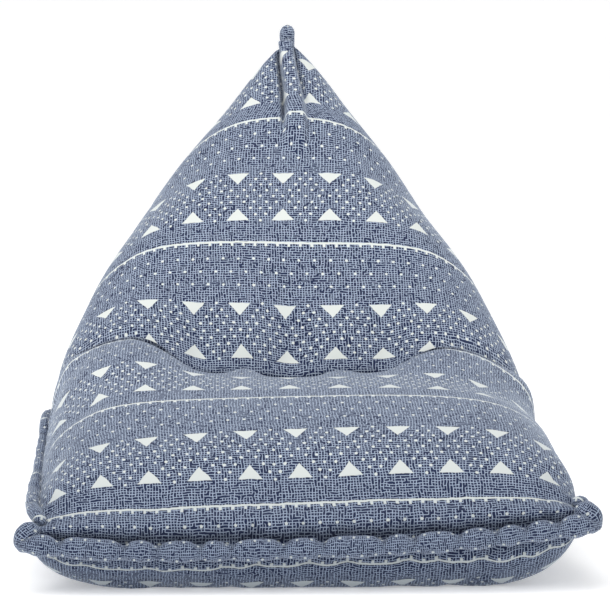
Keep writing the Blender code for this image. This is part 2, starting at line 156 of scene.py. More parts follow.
def cell_corners(grid: Array) -> list[Array]:
    """The four corners of each cell of a grid, one after the other round the cell."""
    return [grid[:-1, :-1], grid[:-1, 1:], grid[1:, 1:], grid[1:, :-1]]


def sew(under: Array, top: Array) -> None:
    """Gives the underside the top's values along the front seam and both side seams."""
    under[0], under[:, 0], under[:, -1] = top[0], top[:, 0], top[:, -1]


def add_item(name: str, data: bpy.types.ID) -> Item:
    """Makes an object and links it to the scene.

    Args:
        name: Its name.
        data: Its mesh, camera or light.

    Returns:
        The linked object.
    """
    item = bpy.data.objects.new(name, data)
    bpy.context.scene.collection.objects.link(item)
    return item


class Panel(Enum):
    """The two panels of the cover."""

    TOP = "top"
    UNDER = "under"


class Hand(Enum):
    """The side of the bag, as someone who faces the seat sees it."""

    LEFT = -1.0
    RIGHT = 1.0


@dataclass(frozen=True)
class Section:
    """One section across the bag, at a distance along the top panel from the front seam."""

    run: float
    slope: float
    half_width: float
    crown: float
    seam_turn: float


@dataclass(frozen=True)
class Swell:
    """A soft rise, or a dent where its height is negative, by its place on the top panel's cloth."""

    across: float
    run: float
    across_reach: float
    ahead: float
    behind: float
    height: float

    def height_at(self, across: Array, run: Array) -> Array:
        """Reads the rise.

        Args:
            across: Distance across the cloth from its middle line.
            run: Distance along the cloth from the front seam.

        Returns:
            How far the cloth stands off, in metres.
        """
        reach = np.where(run < self.run, self.ahead, self.behind)
        off = ((across - self.across) / self.across_reach) ** 2 + ((run - self.run) / reach) ** 2
        return self.height * np.exp(-off)


# Run, slope, half width, crown and seam turn of each section, from the front seam to the peak
SECTIONS = (
    Section(0.000, 76.0, 0.425, 2.6, 84.0),
    Section(0.030, 72.0, 0.426, 2.6, 77.0),
    Section(0.061, 62.0, 0.426, 2.7, 72.0),
    Section(0.110, 45.5, 0.423, 3.1, 77.0),
    Section(0.190, 27.0, 0.415, 3.4, 84.0),
    Section(0.280, 17.0, 0.412, 3.3, 87.0),
    Section(0.380, 7.5, 0.412, 3.3, 88.0),
    Section(0.470, 0.5, 0.413, 3.1, 88.0),
    Section(0.560, -10.0, 0.415, 3.2, 87.0),
    Section(0.614, -20.0, 0.416, 4.0, 86.0),
    Section(0.635, 54.0, 0.416, 4.0, 86.0),
    Section(0.680, 58.0, 0.414, 3.6, 88.0),
    Section(0.760, 54.5, 0.402, 3.8, 90.0),
    Section(0.900, 53.0, 0.367, 3.6, 93.0),
    Section(1.040, 42.5, 0.320, 3.0, 93.0),
    Section(1.180, 48.0, 0.258, 2.6, 92.0),
    Section(1.290, 45.0, 0.178, 2.4, 90.0),
    Section(1.345, 52.0, 0.113, 2.5, 90.0),
    Section(1.385, 50.0, 0.026, 2.6, 90.0),
)

# How the underside's middle line turns down from the front seam to the floor, as run and slope
UNDER_TURNS = ((0.000, -80.0), (0.025, -78.0), (0.050, -66.0), (0.075, -42.0), (0.100, -20.0), (0.130, 0.0))


@dataclass(frozen=True)
class Shoulder:
    """A shoulder that the seat raises beside the sitter, with its crest at the crease."""

    across: float
    outer_reach: float
    height: float
    kept: float
    ahead: float
    lean: float
    inner_reach: float = 0.105
    crest_run: float = 0.630
    drop: float = 0.012
    behind: float = 0.150
    lean_ahead: float = 0.050
    settle: float = 0.65

    def shift_at(self, across: Array, run: Array, seam_near: Array) -> tuple[Array, Array]:
        """Reads how far the shoulder leans back and how much it raises the cloth.

        Args:
            across: Distance to the right of the middle.
            run: Distance along the cloth from the front seam.
            seam_near: 1 at the side seams, where the crease has run out, and 0 away from them.

        Returns:
            The shift to the back and the lift, in metres.
        """
        reach = np.where(np.abs(across) > abs(self.across), self.outer_reach, self.inner_reach)
        side = bell(across, self.across, reach) * (across * self.across > 0)
        before = run < self.crest_run
        fold = bell(run, self.crest_run, self.drop)
        kept = self.kept + (1 - self.kept) * seam_near
        after = kept * bell(run, self.crest_run, self.behind) + (1 - kept) * fold
        height = self.height * (1 - self.settle * seam_near)
        lift = height * side * np.where(before, bell(run, self.crest_run, self.ahead), after)
        leaning = np.where(before, bell(run, self.crest_run, self.lean_ahead), fold)
        back = self.lean * side * (1 - seam_near) * leaning
        return back, lift


SHOULDERS = (
    Shoulder(across=-0.285, outer_reach=0.300, height=0.080, kept=0.55, ahead=0.165, lean=0.018),
    Shoulder(across=0.270, outer_reach=0.190, height=0.062, kept=0.45, ahead=0.110, lean=0.014),
)

# The dents that the sitter's back leaves above the crease, and the small rises between them. Each row holds
# the place across, the run, the reach across, the reaches ahead and behind, and the height.
BACK_DENTS = (
    Swell(-0.155, 0.680, 0.030, 0.050, 0.075, -0.013),
    Swell(0.000, 0.680, 0.034, 0.050, 0.090, -0.015),
    Swell(0.165, 0.680, 0.030, 0.050, 0.075, -0.011),
    Swell(-0.075, 0.700, 0.050, 0.050, 0.060, 0.006),
    Swell(0.080, 0.700, 0.050, 0.050, 0.060, 0.006),
)

# The rises between the dips along the seat's edge at the crease, in rows of the same kind
SEAT_RISES = (
    Swell(-0.082, 0.610, 0.032, 0.060, 0.011, 0.019),
    Swell(0.078, 0.610, 0.034, 0.060, 0.011, 0.015),
    Swell(-0.160, 0.602, 0.024, 0.050, 0.015, -0.007),
    Swell(-0.003, 0.602, 0.026, 0.050, 0.015, -0.006),
    Swell(0.160, 0.602, 0.024, 0.050, 0.015, -0.004),
)

# Lengths between the stitches that draw in the front roll, from its left end, and where that end lies
SCALLOP_START = -0.446
SCALLOPS = (0.049, 0.051, 0.100, 0.052, 0.066, 0.048, 0.082, 0.060, 0.095, 0.047, 0.070, 0.058, 0.046, 0.052)


def stitch_distance(lengths: Array, scallops: tuple[float, ...], phase: float = 0.0) -> Array:
    """Distance to the nearest stitch along a seam.

    Args:
        lengths: Places along the seam.
        scallops: Lengths between stitches, used over and over.
        phase: How far along its lengths the seam starts.

    Returns:
        The distance at each place, in metres.
    """
    rounds = math.ceil((float(np.max(lengths)) + phase) / sum(scallops)) + 1
    stitches = np.concatenate([[0.0], np.cumsum(scallops * rounds)]) - phase
    at = np.clip(np.searchsorted(stitches, lengths), 1, len(stitches) - 1)
    return np.minimum(np.abs(lengths - stitches[at - 1]), np.abs(stitches[at] - lengths))


@dataclass(frozen=True)
class LoungerForm:
    """The plain shape of both panels, from the same lengths and slopes as the solids.

    The front seam's frame has its depth from the front seam; `placed` moves points to the part's own frame.
    """

    panel_start: float = -0.0065
    panel_length: float = 1.385
    seam_height: float = 0.0735
    back_foot_depth: float = 1.150
    back_foot_lift: float = 0.050
    back_foot_length: float = 0.16
    floor_sink: float = 0.014
    under_power: float = 3.0
    origin_depth: float = 0.5717
    origin_shift: float = 0.0139
    back_bow: float = 0.018
    back_bow_start: float = 0.9
    peak_lean: float = 0.010
    peak_lean_span: Pair = (0.60, 0.92)
    crease_spread: float = 0.14
    # How many rows, and how many places about each, the filled crease is averaged over
    crease_parts: tuple[int, int] = (278, 15)
    crease_near: Span = (0.40, 0.50, 0.74, 0.84)
    crease_fade: Pair = (40.0, 82.0)
    right_seam_drop: float = 10.0
    right_seam_span: Span = (0.03, 0.11, 0.58, 0.76)
    right_bulge: float = 0.016
    right_bulge_span: Span = (0.08, 0.19, 0.36, 0.60)
    seam_near: Pair = (0.82, 0.97)
    under_near: Pair = (0.78, 1.0)
    front_tilt: float = 0.0135
    front_tilt_span: Pair = (0.2, 0.55)
    # Tilt and corner lift only reach cloth that stands off the floor, in full from this height
    lifted_height: float = 0.06
    corner_lift: float = 0.0220
    corner_lift_end: float = 0.26
    front_drift: float = 0.0125
    front_drift_end: float = 0.35
    waist_drift: float = 0.0050
    waist_run: float = 0.640
    waist_reach: float = 0.110
    walk_step: float = 0.001
    arc_parts: int = 161

    def column(self, runs: Array, name: str) -> Array:
        """Reads one column of the sections, eased so that no row overshoots.

        Args:
            runs: Distances along the cloth.
            name: The section's field.

        Returns:
            The column's value at each run.
        """
        at = np.array([s.run for s in SECTIONS])
        value = np.array([getattr(s, name) for s in SECTIONS])
        gap = np.diff(at)
        rate = np.diff(value) / gap
        tangent = np.zeros(len(at))
        tangent[0], tangent[-1] = rate[0], rate[-1]
        for i in range(1, len(at) - 1):
            if rate[i - 1] * rate[i] > 0:
                first = 2 * gap[i] + gap[i - 1]
                second = gap[i] + 2 * gap[i - 1]
                tangent[i] = (first + second) / (first / rate[i - 1] + second / rate[i])
        i = np.clip(np.searchsorted(at, runs, side="right") - 1, 0, len(gap) - 1)
        t = np.clip((runs - at[i]) / gap[i], 0.0, 1.0)
        rise = value[i] * (1 + 2 * t) * (1 - t) ** 2 + value[i + 1] * t * t * (3 - 2 * t)
        return rise + gap[i] * t * (1 - t) * (tangent[i] * (1 - t) - tangent[i + 1] * t)

    def walk(self, slopes: Array) -> Array:
        """Finds the depth and height reached by walking along a line.

        Args:
            slopes: The line's slope at each step, in degrees.

        Returns:
            Depth and height by step.
        """
        turns = np.radians(slopes[:-1])
        depth = np.concatenate([[0.0], np.cumsum(np.cos(turns)) * self.walk_step])
        height = np.concatenate([[0.0], np.cumsum(np.sin(turns)) * self.walk_step])
        return np.stack([depth, height + self.seam_height], axis=1)

    def middle_lines(self, runs: Array) -> tuple[Array, Array]:
        """Finds the middle line of each panel.

        Args:
            runs: Distances along the cloth.

        Returns:
            The top's and the underside's depth and height at each run.
        """
        count = round((self.panel_length - self.panel_start) / self.walk_step) + 1
        steps = np.linspace(self.panel_start, self.panel_length, count)
        top = self.walk(np.interp(steps, [s.run for s in SECTIONS], [s.slope for s in SECTIONS]))
        turn_runs, turn_slopes = zip(*UNDER_TURNS)
        low_depth, low_height = self.walk(np.interp(steps, turn_runs, turn_slopes)).T
        turn_end = turn_runs[-1]
        landing = np.interp(turn_end, steps, low_height) + self.floor_sink
        low_height = low_height - landing * np.clip(steps / turn_end, 0.0, 1.0)
        start = np.interp(turn_end, steps, low_depth)
        tail = np.clip((steps - turn_end) / (self.panel_length - turn_end), 0.0, 1.0)
        low_depth = np.where(steps < turn_end, low_depth, start + tail * (self.back_foot_depth - start))
        lift = ease(steps, self.panel_length - self.back_foot_length, self.panel_length) ** 2
        low_height = low_height + (self.back_foot_lift + self.floor_sink) * lift
        low = np.stack([low_depth, low_height], axis=1)
        return rows_at(runs, steps, top), rows_at(runs, steps, low)

    def softened_lift(self, runs: Array) -> Array:
        """Finds how much higher the top's middle line would lie if the crease were filled.

        Args:
            runs: Distances along the cloth.

        Returns:
            The lift at each run, in metres.
        """
        rows, places = self.crease_parts
        steps = np.linspace(0.0, self.panel_length, rows)
        top, _ = self.middle_lines(steps)
        reach = np.linspace(-self.crease_spread, self.crease_spread, places)
        weight = np.cos(reach / self.crease_spread * math.pi / 2) ** 2
        height = sum(w * np.interp(steps + r, steps, top[:, 1]) for r, w in zip(reach, weight)) / weight.sum()
        return np.interp(runs, steps, (height - top[:, 1]) * between(steps, *self.crease_near))

    def half_section(self, panel: Panel, runs: Array, hand: Hand) -> tuple[Array, Array, Array, Array]:
        """Lays each section of a panel from its middle line to one side seam.

        Args:
            panel: Which panel.
            runs: Distances along the cloth from the front seam.
            hand: Which side seam.

        Returns:
            The points' distance out, depth and height, and their distance along the cloth.
        """
        top, low = self.middle_lines(runs)
        upright = top - low
        length = np.linalg.norm(upright, axis=1)
        straight = upright / np.maximum(length, 1e-6)[:, None]
        way = np.where(length[:, None] > 1e-6, straight, np.array([[0.0, 1.0]]))
        half_width = self.column(runs, "half_width")[:, None]
        crown = self.column(runs, "crown")[:, None]
        if hand is Hand.RIGHT:
            lower = self.right_seam_drop * between(runs, *self.right_seam_span)
            bulge = self.right_bulge * between(runs, *self.right_bulge_span)
        else:
            lower = bulge = np.zeros(len(runs))
        turn = np.radians(self.column(runs, "seam_turn") + lower)[:, None]
        half_width = half_width + bulge[:, None]
        part = np.linspace(0.0, 1.0, self.arc_parts)[None, :]
        angle = turn * part if panel is Panel.TOP else math.pi - (math.pi - turn) * part
        power = np.where(np.cos(angle) > 0, crown, self.under_power)
        x = half_width * np.abs(np.sin(angle)) ** (2 / power)
        part_up = np.sign(np.cos(angle)) * np.abs(np.cos(angle)) ** (2 / power)
        h = (length / 2)[:, None] * part_up
        middle = (top + low) / 2
        y = middle[:, :1] + h * way[:, :1]
        z = middle[:, 1:] + h * way[:, 1:]
        # The seat's crease is sharp in the middle and is filled towards the side seams
        fade = ease(np.degrees(angle), *self.crease_fade) * (1 + part_up) / 2
        z = z + fade * self.softened_lift(runs)[:, None]
        gaps = np.sqrt(np.diff(x, axis=1) ** 2 + np.diff(y, axis=1) ** 2 + np.diff(z, axis=1) ** 2)
        arc = np.concatenate([np.zeros((len(runs), 1)), np.cumsum(gaps, axis=1)], axis=1)
        return x, y, z, arc

    def panel(self, panel: Panel, across: Array, runs: Array) -> tuple[Array, Array]:
        """Lays one panel.

        Args:
            panel: Which panel.
            across: Places from -1 at the left side seam to 1 at the right one, in equal parts of cloth.
            runs: Distances along the cloth from the front seam.

        Returns:
            The points by run and place, and the distance across the cloth from its middle line.
        """
        points = np.zeros((len(runs), len(across), 3))
        cloth = np.zeros((len(runs), len(across)))
        for hand in Hand:
            x, y, z, arc = self.half_section(panel, runs, hand)
            half = across * hand.value >= 0
            for i in range(len(runs)):
                at = np.abs(across[half]) * arc[i, -1]
                points[i, half, 0] = np.interp(at, arc[i], x[i]) * hand.value
                points[i, half, 1] = np.interp(at, arc[i], y[i])
                points[i, half, 2] = np.interp(at, arc[i], z[i])
                cloth[i, half] = at * hand.value
        # Shoulders raise the top panel, and the underside only where it meets the seams
        part = np.ones(len(across)) if panel is Panel.TOP else ease(np.abs(across), *self.under_near)
        seam_near = ease(np.abs(across), *self.seam_near)[None, :]
        out = points[:, :, 0].copy()
        for shoulder in SHOULDERS:
            back, lift = shoulder.shift_at(out, runs[:, None], seam_near)
            points[:, :, 1] += back * part[None, :]
            points[:, :, 2] += lift * part[None, :]
        return points, cloth

    def placed(self, points: Array, runs: Array) -> Array:
        """Gives laid points the tilt, the bow and the lean, presses them flat on the floor, and moves them.

        Args:
            points: Points by run and place, in the front seam's frame.
            runs: Distances along the cloth.

        Returns:
            The points in the part's own frame.
        """
        points = points.copy()
        part_out = points[:, :, 0] / SECTIONS[0].half_width
        lift = self.front_tilt * part_out * (1 - ease(runs, *self.front_tilt_span))[:, None]
        near_front = (1 - ease(runs, 0.0, self.corner_lift_end))[:, None]
        lift += self.corner_lift * np.abs(part_out) ** 3 * near_front
        points[:, :, 2] += lift * ease(points[:, :, 2], 0.0, self.lifted_height)
        drift = self.front_drift * (1 - ease(runs, 0.0, self.front_drift_end))
        drift += self.waist_drift * bell(runs, self.waist_run, self.waist_reach)
        points[:, :, 0] += drift[:, None]
        points[:, :, 2] = np.maximum(points[:, :, 2], 0.0)
        part_up = np.clip(points[:, :, 2] / self.peak_height(), 0.0, 1.0)
        near_back = ease(runs, self.back_bow_start, self.panel_length)[:, None]
        points[:, :, 1] += self.back_bow * near_back * np.sin(math.pi * part_up)
        points[:, :, 0] += self.leaning(part_up)
        return points - np.array([self.origin_shift, self.origin_depth, 0.0])

    def leaning(self, part_up: Array) -> Array:
        """How far the peak leans to the right at each part of the bag's height."""
        return self.peak_lean * ease(part_up, *self.peak_lean_span)

    def peak_height(self) -> float:
        """Height of the top panel's middle line at the peak."""
        return float(self.middle_lines(np.array([self.panel_length]))[0][0, 1])


@dataclass(frozen=True)
class PrintRepeat:
    """The canvas print's repeat, in metres on the cloth, charted from its rows and columns."""

    column: float = 0.0790
    column_start: float = -0.007
    repeat: float = 0.28124
    line_run: float = 0.061
    line_half: float = 0.0019
    tick_half: float = 0.0023
    tick_drop: float = 0.0072
    band_middle: float = 0.10134
    triangle_tip: float = 0.0290
    triangle_base: float = 0.0550
    triangle_half: float = 0.0195
    dense_row: float = 0.01375
    dense_dot: float = 0.00255
    sparse_start: float = 0.1940
    sparse_row: float = 0.02674
    sparse_dot: float = 0.00250
    hatch: float = 0.0047
    hatch_half: float = 0.00052
    hatch_gaps: float = 0.14
    hatch_bias: float = 0.8
    hatch_patch: float = 0.035
    # How far the print and the hatch wander, over waves of which size
    wander: float = 0.0016
    wander_size: float = 0.014
    hatch_wander: float = 1.5
    hatch_wander_size: float = 0.018
    edge: float = 0.00035
    # Dots between two triangles, as parts of a column from the gap's middle and rows from the band's middle
    dense_dots: tuple[tuple[float, int], ...] = (
        (0.0, 0), (0.29, 0), (0.5, 0), (0.14, 1), (0.355, 1), (0.0, 2), (0.22, 2), (0.11, 3), (0.0, 4),
    )


PRINT = PrintRepeat()
# The rolls' cloth is gathered, so that its hatch lies closer
GATHERED_PRINT = replace(PRINT, hatch=0.0037, hatch_half=0.00043)


def add_node(tree: NodeTree, kind: str, links: dict | None = None, **settings: object) -> bpy.types.Node:
    """Adds one node to a tree.

    Args:
        tree: The node tree.
        kind: The node's type name.
        links: By input name or number, the socket that feeds it or the value that it holds.
        **settings: The node's own settings.

    Returns:
        The new node.
    """
    node = tree.nodes.new(kind)
    for name, value in settings.items():
        setattr(node, name, value)
    for name, value in (links or {}).items():
        if isinstance(value, Socket):
            tree.links.new(value, node.inputs[name])
        else:
            node.inputs[name].default_value = value
    return node


def add_nodes(tree: NodeTree, known: dict[str, Socket], steps: Iterable[tuple]) -> dict[str, Socket]:
    """Adds the nodes of a calculation, one for each of its steps.

    Args:
        tree: The node tree.
        known: Sockets, by the names under which the steps read them.
        steps: For each node the name of its result, its kind with its operation, and its inputs in order,
            each the name of an earlier result or a value.

    Returns:
        The known sockets and all results, by name.
    """
    sockets = dict(known)
    for result, kind, *inputs in steps:
        kind, _, operation = kind.partition(" ")
        links = {at: sockets[given] if isinstance(given, str) else given for at, given in enumerate(inputs)}
        settings = {"operation": operation} if operation else {}
        node = add_node(tree, f"ShaderNode{kind}", links, **settings)
        sockets[result] = next(socket for socket in node.outputs if socket.enabled)
    return sockets


@dataclass(frozen=True)
class PrintedCanvas:
    """Cotton canvas, plain woven and pigment printed.

    It gives a matte surface with a pale hatch over navy, a white print that sits in the weave, and a light
    bloom of fibre where it turns away from the eye.
    """

    name: str = "printed_cotton_canvas"
    navy: str = "1F2C4D"
    deep_navy: str = "172141"
    dye_patch: float = 0.07
    hatch: str = "AEBBCF"
    ink: str = "DADEDA"
    roughness: float = 0.88
    specular: float = 0.2
    sheen: float = 0.52
    sheen_roughness: float = 0.45
    fibre: str = "D9E4F3"
    # Painted shade in folds: what is left of the colour deep in a fold
    fold_shade_kept: float = 0.42
    # Plain weave, drawn about twice as coarse as real canvas thread so that it shows
    thread_pitch: float = 0.0018
    thread_depth: float = 0.00022
    weave_strength: float = 0.5
    woven_part: float = 0.5
    fibre_size: float = 0.004
    # How much of the weave's depth the ink fills
    ink_fill: float = 0.3
    # Painted shade towards the floor: what is left of the colour at the floor, and how high the darkening
    # reaches
    painted_low_shade: Triple = (0.54, 0.57, 0.62)
    low_shade_height: float = 0.29
    print_rules: PrintRepeat = PRINT

    def build(self) -> Material:
        """Builds the material on the piece's cloth UV map.

        Returns:
            The finished material.
        """
        material = bpy.data.materials.new(self.name)
        material.use_nodes = True
        tree = material.node_tree
        tree.nodes.clear()
        cloth = add_node(tree, "ShaderNodeUVMap", uv_map="cloth").outputs["UV"]
        white = self.white_print(tree, cloth)
        hatch = self.hatching(tree, cloth)
        finish = {
            "Base Color": self.colours(tree, cloth, white, hatch),
            "Roughness": self.roughness,
            "Sheen Weight": self.sheen,
            "Sheen Roughness": self.sheen_roughness,
            "Sheen Tint": linear(self.fibre),
            "Normal": self.weave(tree, cloth, white),
            "Specular IOR Level": self.specular,
        }
        shader = add_node(tree, "ShaderNodeBsdfPrincipled", finish).outputs["BSDF"]
        add_node(tree, "ShaderNodeOutputMaterial", {"Surface": shader})
        return material

    def wandered(self, tree: NodeTree, cloth: Socket, size: float, amount: float) -> dict[str, Socket]:
        """Shifts the cloth's coordinates a little, as hand-cut screens and pulled cloth do.

        Args:
            tree: The material's tree.
            cloth: The cloth's coordinates.
            size: Size of the wander's waves, in metres.
            amount: Its full width, in metres.

        Returns:
            The sockets of u and v, by name.
        """
        links = {"Vector": cloth, "Scale": 1 / size, "Detail": 2.0}
        noise = add_node(tree, "ShaderNodeTexNoise", links, noise_dimensions="2D").outputs["Color"]
        steps = (
            ("centred", "VectorMath SUBTRACT", "noise", (0.5, 0.5, 0.5)),
            ("moved", "VectorMath MULTIPLY_ADD", "centred", (2 * amount, 2 * amount, 0.0), "cloth"),
        )
        moved = add_nodes(tree, {"noise": noise, "cloth": cloth}, steps)["moved"]
        parts = add_node(tree, "ShaderNodeSeparateXYZ", {"Vector": moved}).outputs
        return {"u": parts["X"], "v": parts["Y"]}

    def white_print(self, tree: NodeTree, cloth: Socket) -> Socket:
        """Draws lines, ticks, triangles and dots.

        Each motif is a field in metres that is above 0 inside it, and the greatest field wins.

        Args:
            tree: The material's tree.
            cloth: The cloth's coordinates.

        Returns:
            The socket of the print's mask.
        """
        p = self.print_rules
        steps = [
            ("from_start", "Math SUBTRACT", "u", p.column_start),
            ("columns", "Math DIVIDE", "from_start", p.column),
            ("column_part", "Math PINGPONG", "columns", 0.5),
            ("off_column", "Math MULTIPLY", "column_part", p.column),
            ("off_gap", "Math SUBTRACT", p.column / 2, "off_column"),
            ("along", "Math SUBTRACT", "v", p.line_run),
            ("in_repeat", "Math FLOORED_MODULO", "along", p.repeat),
            ("past_band", "Math SUBTRACT", "in_repeat", p.band_middle),
            ("off_band", "Math ABSOLUTE", "past_band"),
            # Lines, and the ticks that hang on their front side
            ("off_line", "Math PINGPONG", "along", p.repeat / 2),
            ("line", "Math SUBTRACT", p.line_half, "off_line"),
            ("four_columns", "Math MULTIPLY_ADD", "columns", 4.0, 0.5),
            ("quarter", "Math PINGPONG", "four_columns", 0.5),
            ("off_tick", "Math MULTIPLY", "quarter", p.column / 4),
            ("across_tick", "Math SUBTRACT", p.tick_half, "off_tick"),
            ("to_line", "Math SUBTRACT", p.repeat, "in_repeat"),
            ("along_tick", "Math SUBTRACT", p.tick_drop, "to_line"),
            ("tick", "Math MINIMUM", "across_tick", "along_tick"),
            # Triangles: two rows that point at each other
            ("past_tip", "Math SUBTRACT", "off_band", p.triangle_tip),
            ("half", "Math MULTIPLY", "past_tip", p.triangle_half / (p.triangle_base - p.triangle_tip)),
            ("inside", "Math SUBTRACT", "half", "off_column"),
            ("to_base", "Math SUBTRACT", p.triangle_base, "off_band"),
            ("triangle", "Math MINIMUM", "inside", "to_base"),
            # Three rows of sparse dots in brick order
            ("past_first", "Math SUBTRACT", "in_repeat", p.sparse_start),
            ("rows", "Math DIVIDE", "past_first", p.sparse_row),
            ("nearest", "Math ROUND", "rows"),
            ("not_before", "Math MAXIMUM", "nearest", 0.0),
            ("row", "Math MINIMUM", "not_before", 2.0),
            ("every_other", "Math PINGPONG", "row", 1.0),
            ("brick", "Math MULTIPLY", "every_other", 0.5),
            ("three_columns", "Math MULTIPLY_ADD", "columns", 3.0, "brick"),
            ("third", "Math PINGPONG", "three_columns", 0.5),
            ("off_dot", "Math MULTIPLY", "third", p.column / 3),
            ("row_run", "Math MULTIPLY_ADD", "row", p.sparse_row, p.sparse_start),
            ("off_row", "Math SUBTRACT", "in_repeat", "row_run"),
            ("from_sparse", "CombineXYZ", "off_dot", "off_row"),
            ("far_sparse", "VectorMath LENGTH", "from_sparse"),
            ("sparse", "Math SUBTRACT", p.sparse_dot, "far_sparse"),
            # Dense dots between the triangles
            ("place", "CombineXYZ", "off_gap", "off_band"),
        ]
        motifs = ["tick", "triangle", "sparse"]
        for number, (part, row) in enumerate(p.dense_dots):
            centre = (part * p.column, row * p.dense_row, 0.0)
            far, dot = f"far_{number}", f"dot_{number}"
            steps.append((far, "VectorMath DISTANCE", "place", centre))
            steps.append((dot, "Math SUBTRACT", p.dense_dot, far))
            motifs.append(dot)
        drawn = add_nodes(tree, self.wandered(tree, cloth, p.wander_size, p.wander), steps)
        greatest = drawn["line"]
        for motif in motifs:
            links = {0: greatest, 1: drawn[motif]}
            greatest = add_node(tree, "ShaderNodeMath", links, operation="MAXIMUM").outputs[0]
        links = {"Value": greatest, "From Min": -p.edge, "From Max": p.edge}
        return add_node(tree, "ShaderNodeMapRange", links).outputs["Result"]

    def hatching(self, tree: NodeTree, cloth: Socket) -> Socket:
        """Draws the pale broken lines that run along and across like a coarse weave.

        The threads' lattice has its pitch, and each edge of a cell is drawn or left out by chance.

        Args:
            tree: The material's tree.
            cloth: The cloth's coordinates.

        Returns:
            The socket of the hatching's mask.
        """
        p = self.print_rules
        known = self.wandered(tree, cloth, p.hatch_wander_size, p.wander * p.hatch_wander)
        # Patches where lines of one way are mostly left out
        links = {"Vector": cloth, "Scale": 1 / p.hatch_patch, "Detail": 1.0}
        noise = add_node(tree, "ShaderNodeTexNoise", links, noise_dimensions="2D")
        known["patches"] = noise.outputs["Fac"]
        lattice = (("across", "Math DIVIDE", "u", p.hatch), ("along", "Math DIVIDE", "v", p.hatch))
        known = add_nodes(tree, known, lattice)
        for line, other, seed, way in (("across", "along", 3.0, 1.0), ("along", "across", 7.0, -1.0)):
            steps = (
                ("own", "Math ROUND", line),
                ("crossed", "Math FLOOR", other),
                ("cell", "CombineXYZ", "own", "crossed", seed),
            )
            cell = add_nodes(tree, known, steps)["cell"]
            white_noise = add_node(tree, "ShaderNodeTexWhiteNoise", {"Vector": cell}, noise_dimensions="3D")
            known["chance"] = white_noise.outputs["Value"]
            bias = way * p.hatch_bias
            steps = (
                ("gaps", "Math MULTIPLY_ADD", "patches", bias, p.hatch_gaps - bias / 2),
                ("missing", "Math LESS_THAN", "chance", "gaps"),
                ("width", "Math MULTIPLY_ADD", "chance", p.hatch_half * 0.5, p.hatch_half * 0.75),
                ("line_part", "Math PINGPONG", line, 0.5),
                ("off_line", "Math MULTIPLY", "line_part", p.hatch),
                ("inside", "Math SUBTRACT", "width", "off_line"),
                (f"{line}_lines", "Math SUBTRACT", "inside", "missing"),
            )
            known = add_nodes(tree, known, steps)
        links = {0: known["across_lines"], 1: known["along_lines"]}
        drawn = add_node(tree, "ShaderNodeMath", links, operation="MAXIMUM").outputs[0]
        links = {"Value": drawn, "From Min": -p.edge, "From Max": p.edge}
        return add_node(tree, "ShaderNodeMapRange", links).outputs["Result"]

    def colours(self, tree: NodeTree, cloth: Socket, white: Socket, hatch: Socket) -> Socket:
        """Mixes the dyed ground, the hatching and the white ink, and darkens them with painted shade towards
        the floor and in folds.

        Args:
            tree: The material's tree.
            cloth: The cloth's coordinates.
            white: The print's mask.
            hatch: The hatching's mask.

        Returns:
            The socket of the surface colour.
        """
        links = {"Vector": cloth, "Scale": 1 / self.dye_patch, "Detail": 3.0}
        patches = add_node(tree, "ShaderNodeTexNoise", links, noise_dimensions="2D").outputs["Fac"]
        colour = linear(self.deep_navy)
        for mask, over in ((patches, self.navy), (hatch, self.hatch), (white, self.ink)):
            links = {0: mask, 6: colour, 7: linear(over)}
            colour = add_node(tree, "ShaderNodeMix", links, data_type="RGBA").outputs[2]
        # Painted shade: the colour darkens towards the floor by height in the object's frame, in place of the
        # shade on the low front and underside
        place = add_node(tree, "ShaderNodeTexCoord").outputs["Object"]
        height = add_node(tree, "ShaderNodeSeparateXYZ", {"Vector": place}).outputs["Z"]
        links = {"Value": height, "From Max": self.low_shade_height}
        unshaded_part = add_node(tree, "ShaderNodeMapRange", links).outputs["Result"]
        links = {0: unshaded_part, 6: (*self.painted_low_shade, 1.0), 7: WHITE}
        left = add_node(tree, "ShaderNodeMix", links, data_type="RGBA").outputs[2]
        links = {0: colour, 1: left}
        painted_low_shade = add_node(tree, "ShaderNodeVectorMath", links, operation="MULTIPLY").outputs["Vector"]
        # Painted shade in folds, grooves and pleats, read from the piece's attribute
        painted_fold_shade = add_node(tree, "ShaderNodeAttribute", attribute_name="painted_fold_shade").outputs["Fac"]
        links = {"Value": painted_fold_shade, "To Min": 1.0, "To Max": self.fold_shade_kept}
        kept = add_node(tree, "ShaderNodeMapRange", links).outputs["Result"]
        links = {0: painted_low_shade, "Scale": kept}
        return add_node(tree, "ShaderNodeVectorMath", links, operation="SCALE").outputs["Vector"]

    def weave(self, tree: NodeTree, cloth: Socket, white: Socket) -> Socket:
        """Raises the plain weave and its loose fibres.

        Args:
            tree: The material's tree.
            cloth: The cloth's coordinates.
            white: The print's mask, whose ink fills the weave a little.

        Returns:
            The socket of the bumped normal.
        """
        parts = add_node(tree, "ShaderNodeSeparateXYZ", {"Vector": cloth}).outputs
        links = {"Vector": cloth, "Scale": 1 / self.fibre_size, "Detail": 3.0}
        fibres = add_node(tree, "ShaderNodeTexNoise", links, noise_dimensions="2D").outputs["Fac"]
        known = {"u": parts["X"], "v": parts["Y"], "fibres": fibres, "white": white}
        turn = 2 * math.pi / self.thread_pitch
        steps = (
            ("u_turns", "Math MULTIPLY", "u", turn),
            ("u_wave", "Math SINE", "u_turns"),
            ("v_turns", "Math MULTIPLY", "v", turn),
            ("v_wave", "Math SINE", "v_turns"),
            ("woven", "Math MULTIPLY", "u_wave", "v_wave"),
            ("raised", "Math MULTIPLY_ADD", "woven", self.woven_part, "fibres"),
            ("filled", "Math MULTIPLY_ADD", "white", self.ink_fill, "raised"),
        )
        filled = add_nodes(tree, known, steps)["filled"]
        links = {"Height": filled, "Strength": self.weave_strength, "Distance": self.thread_depth}
        return add_node(tree, "ShaderNodeBump", links).outputs["Normal"]


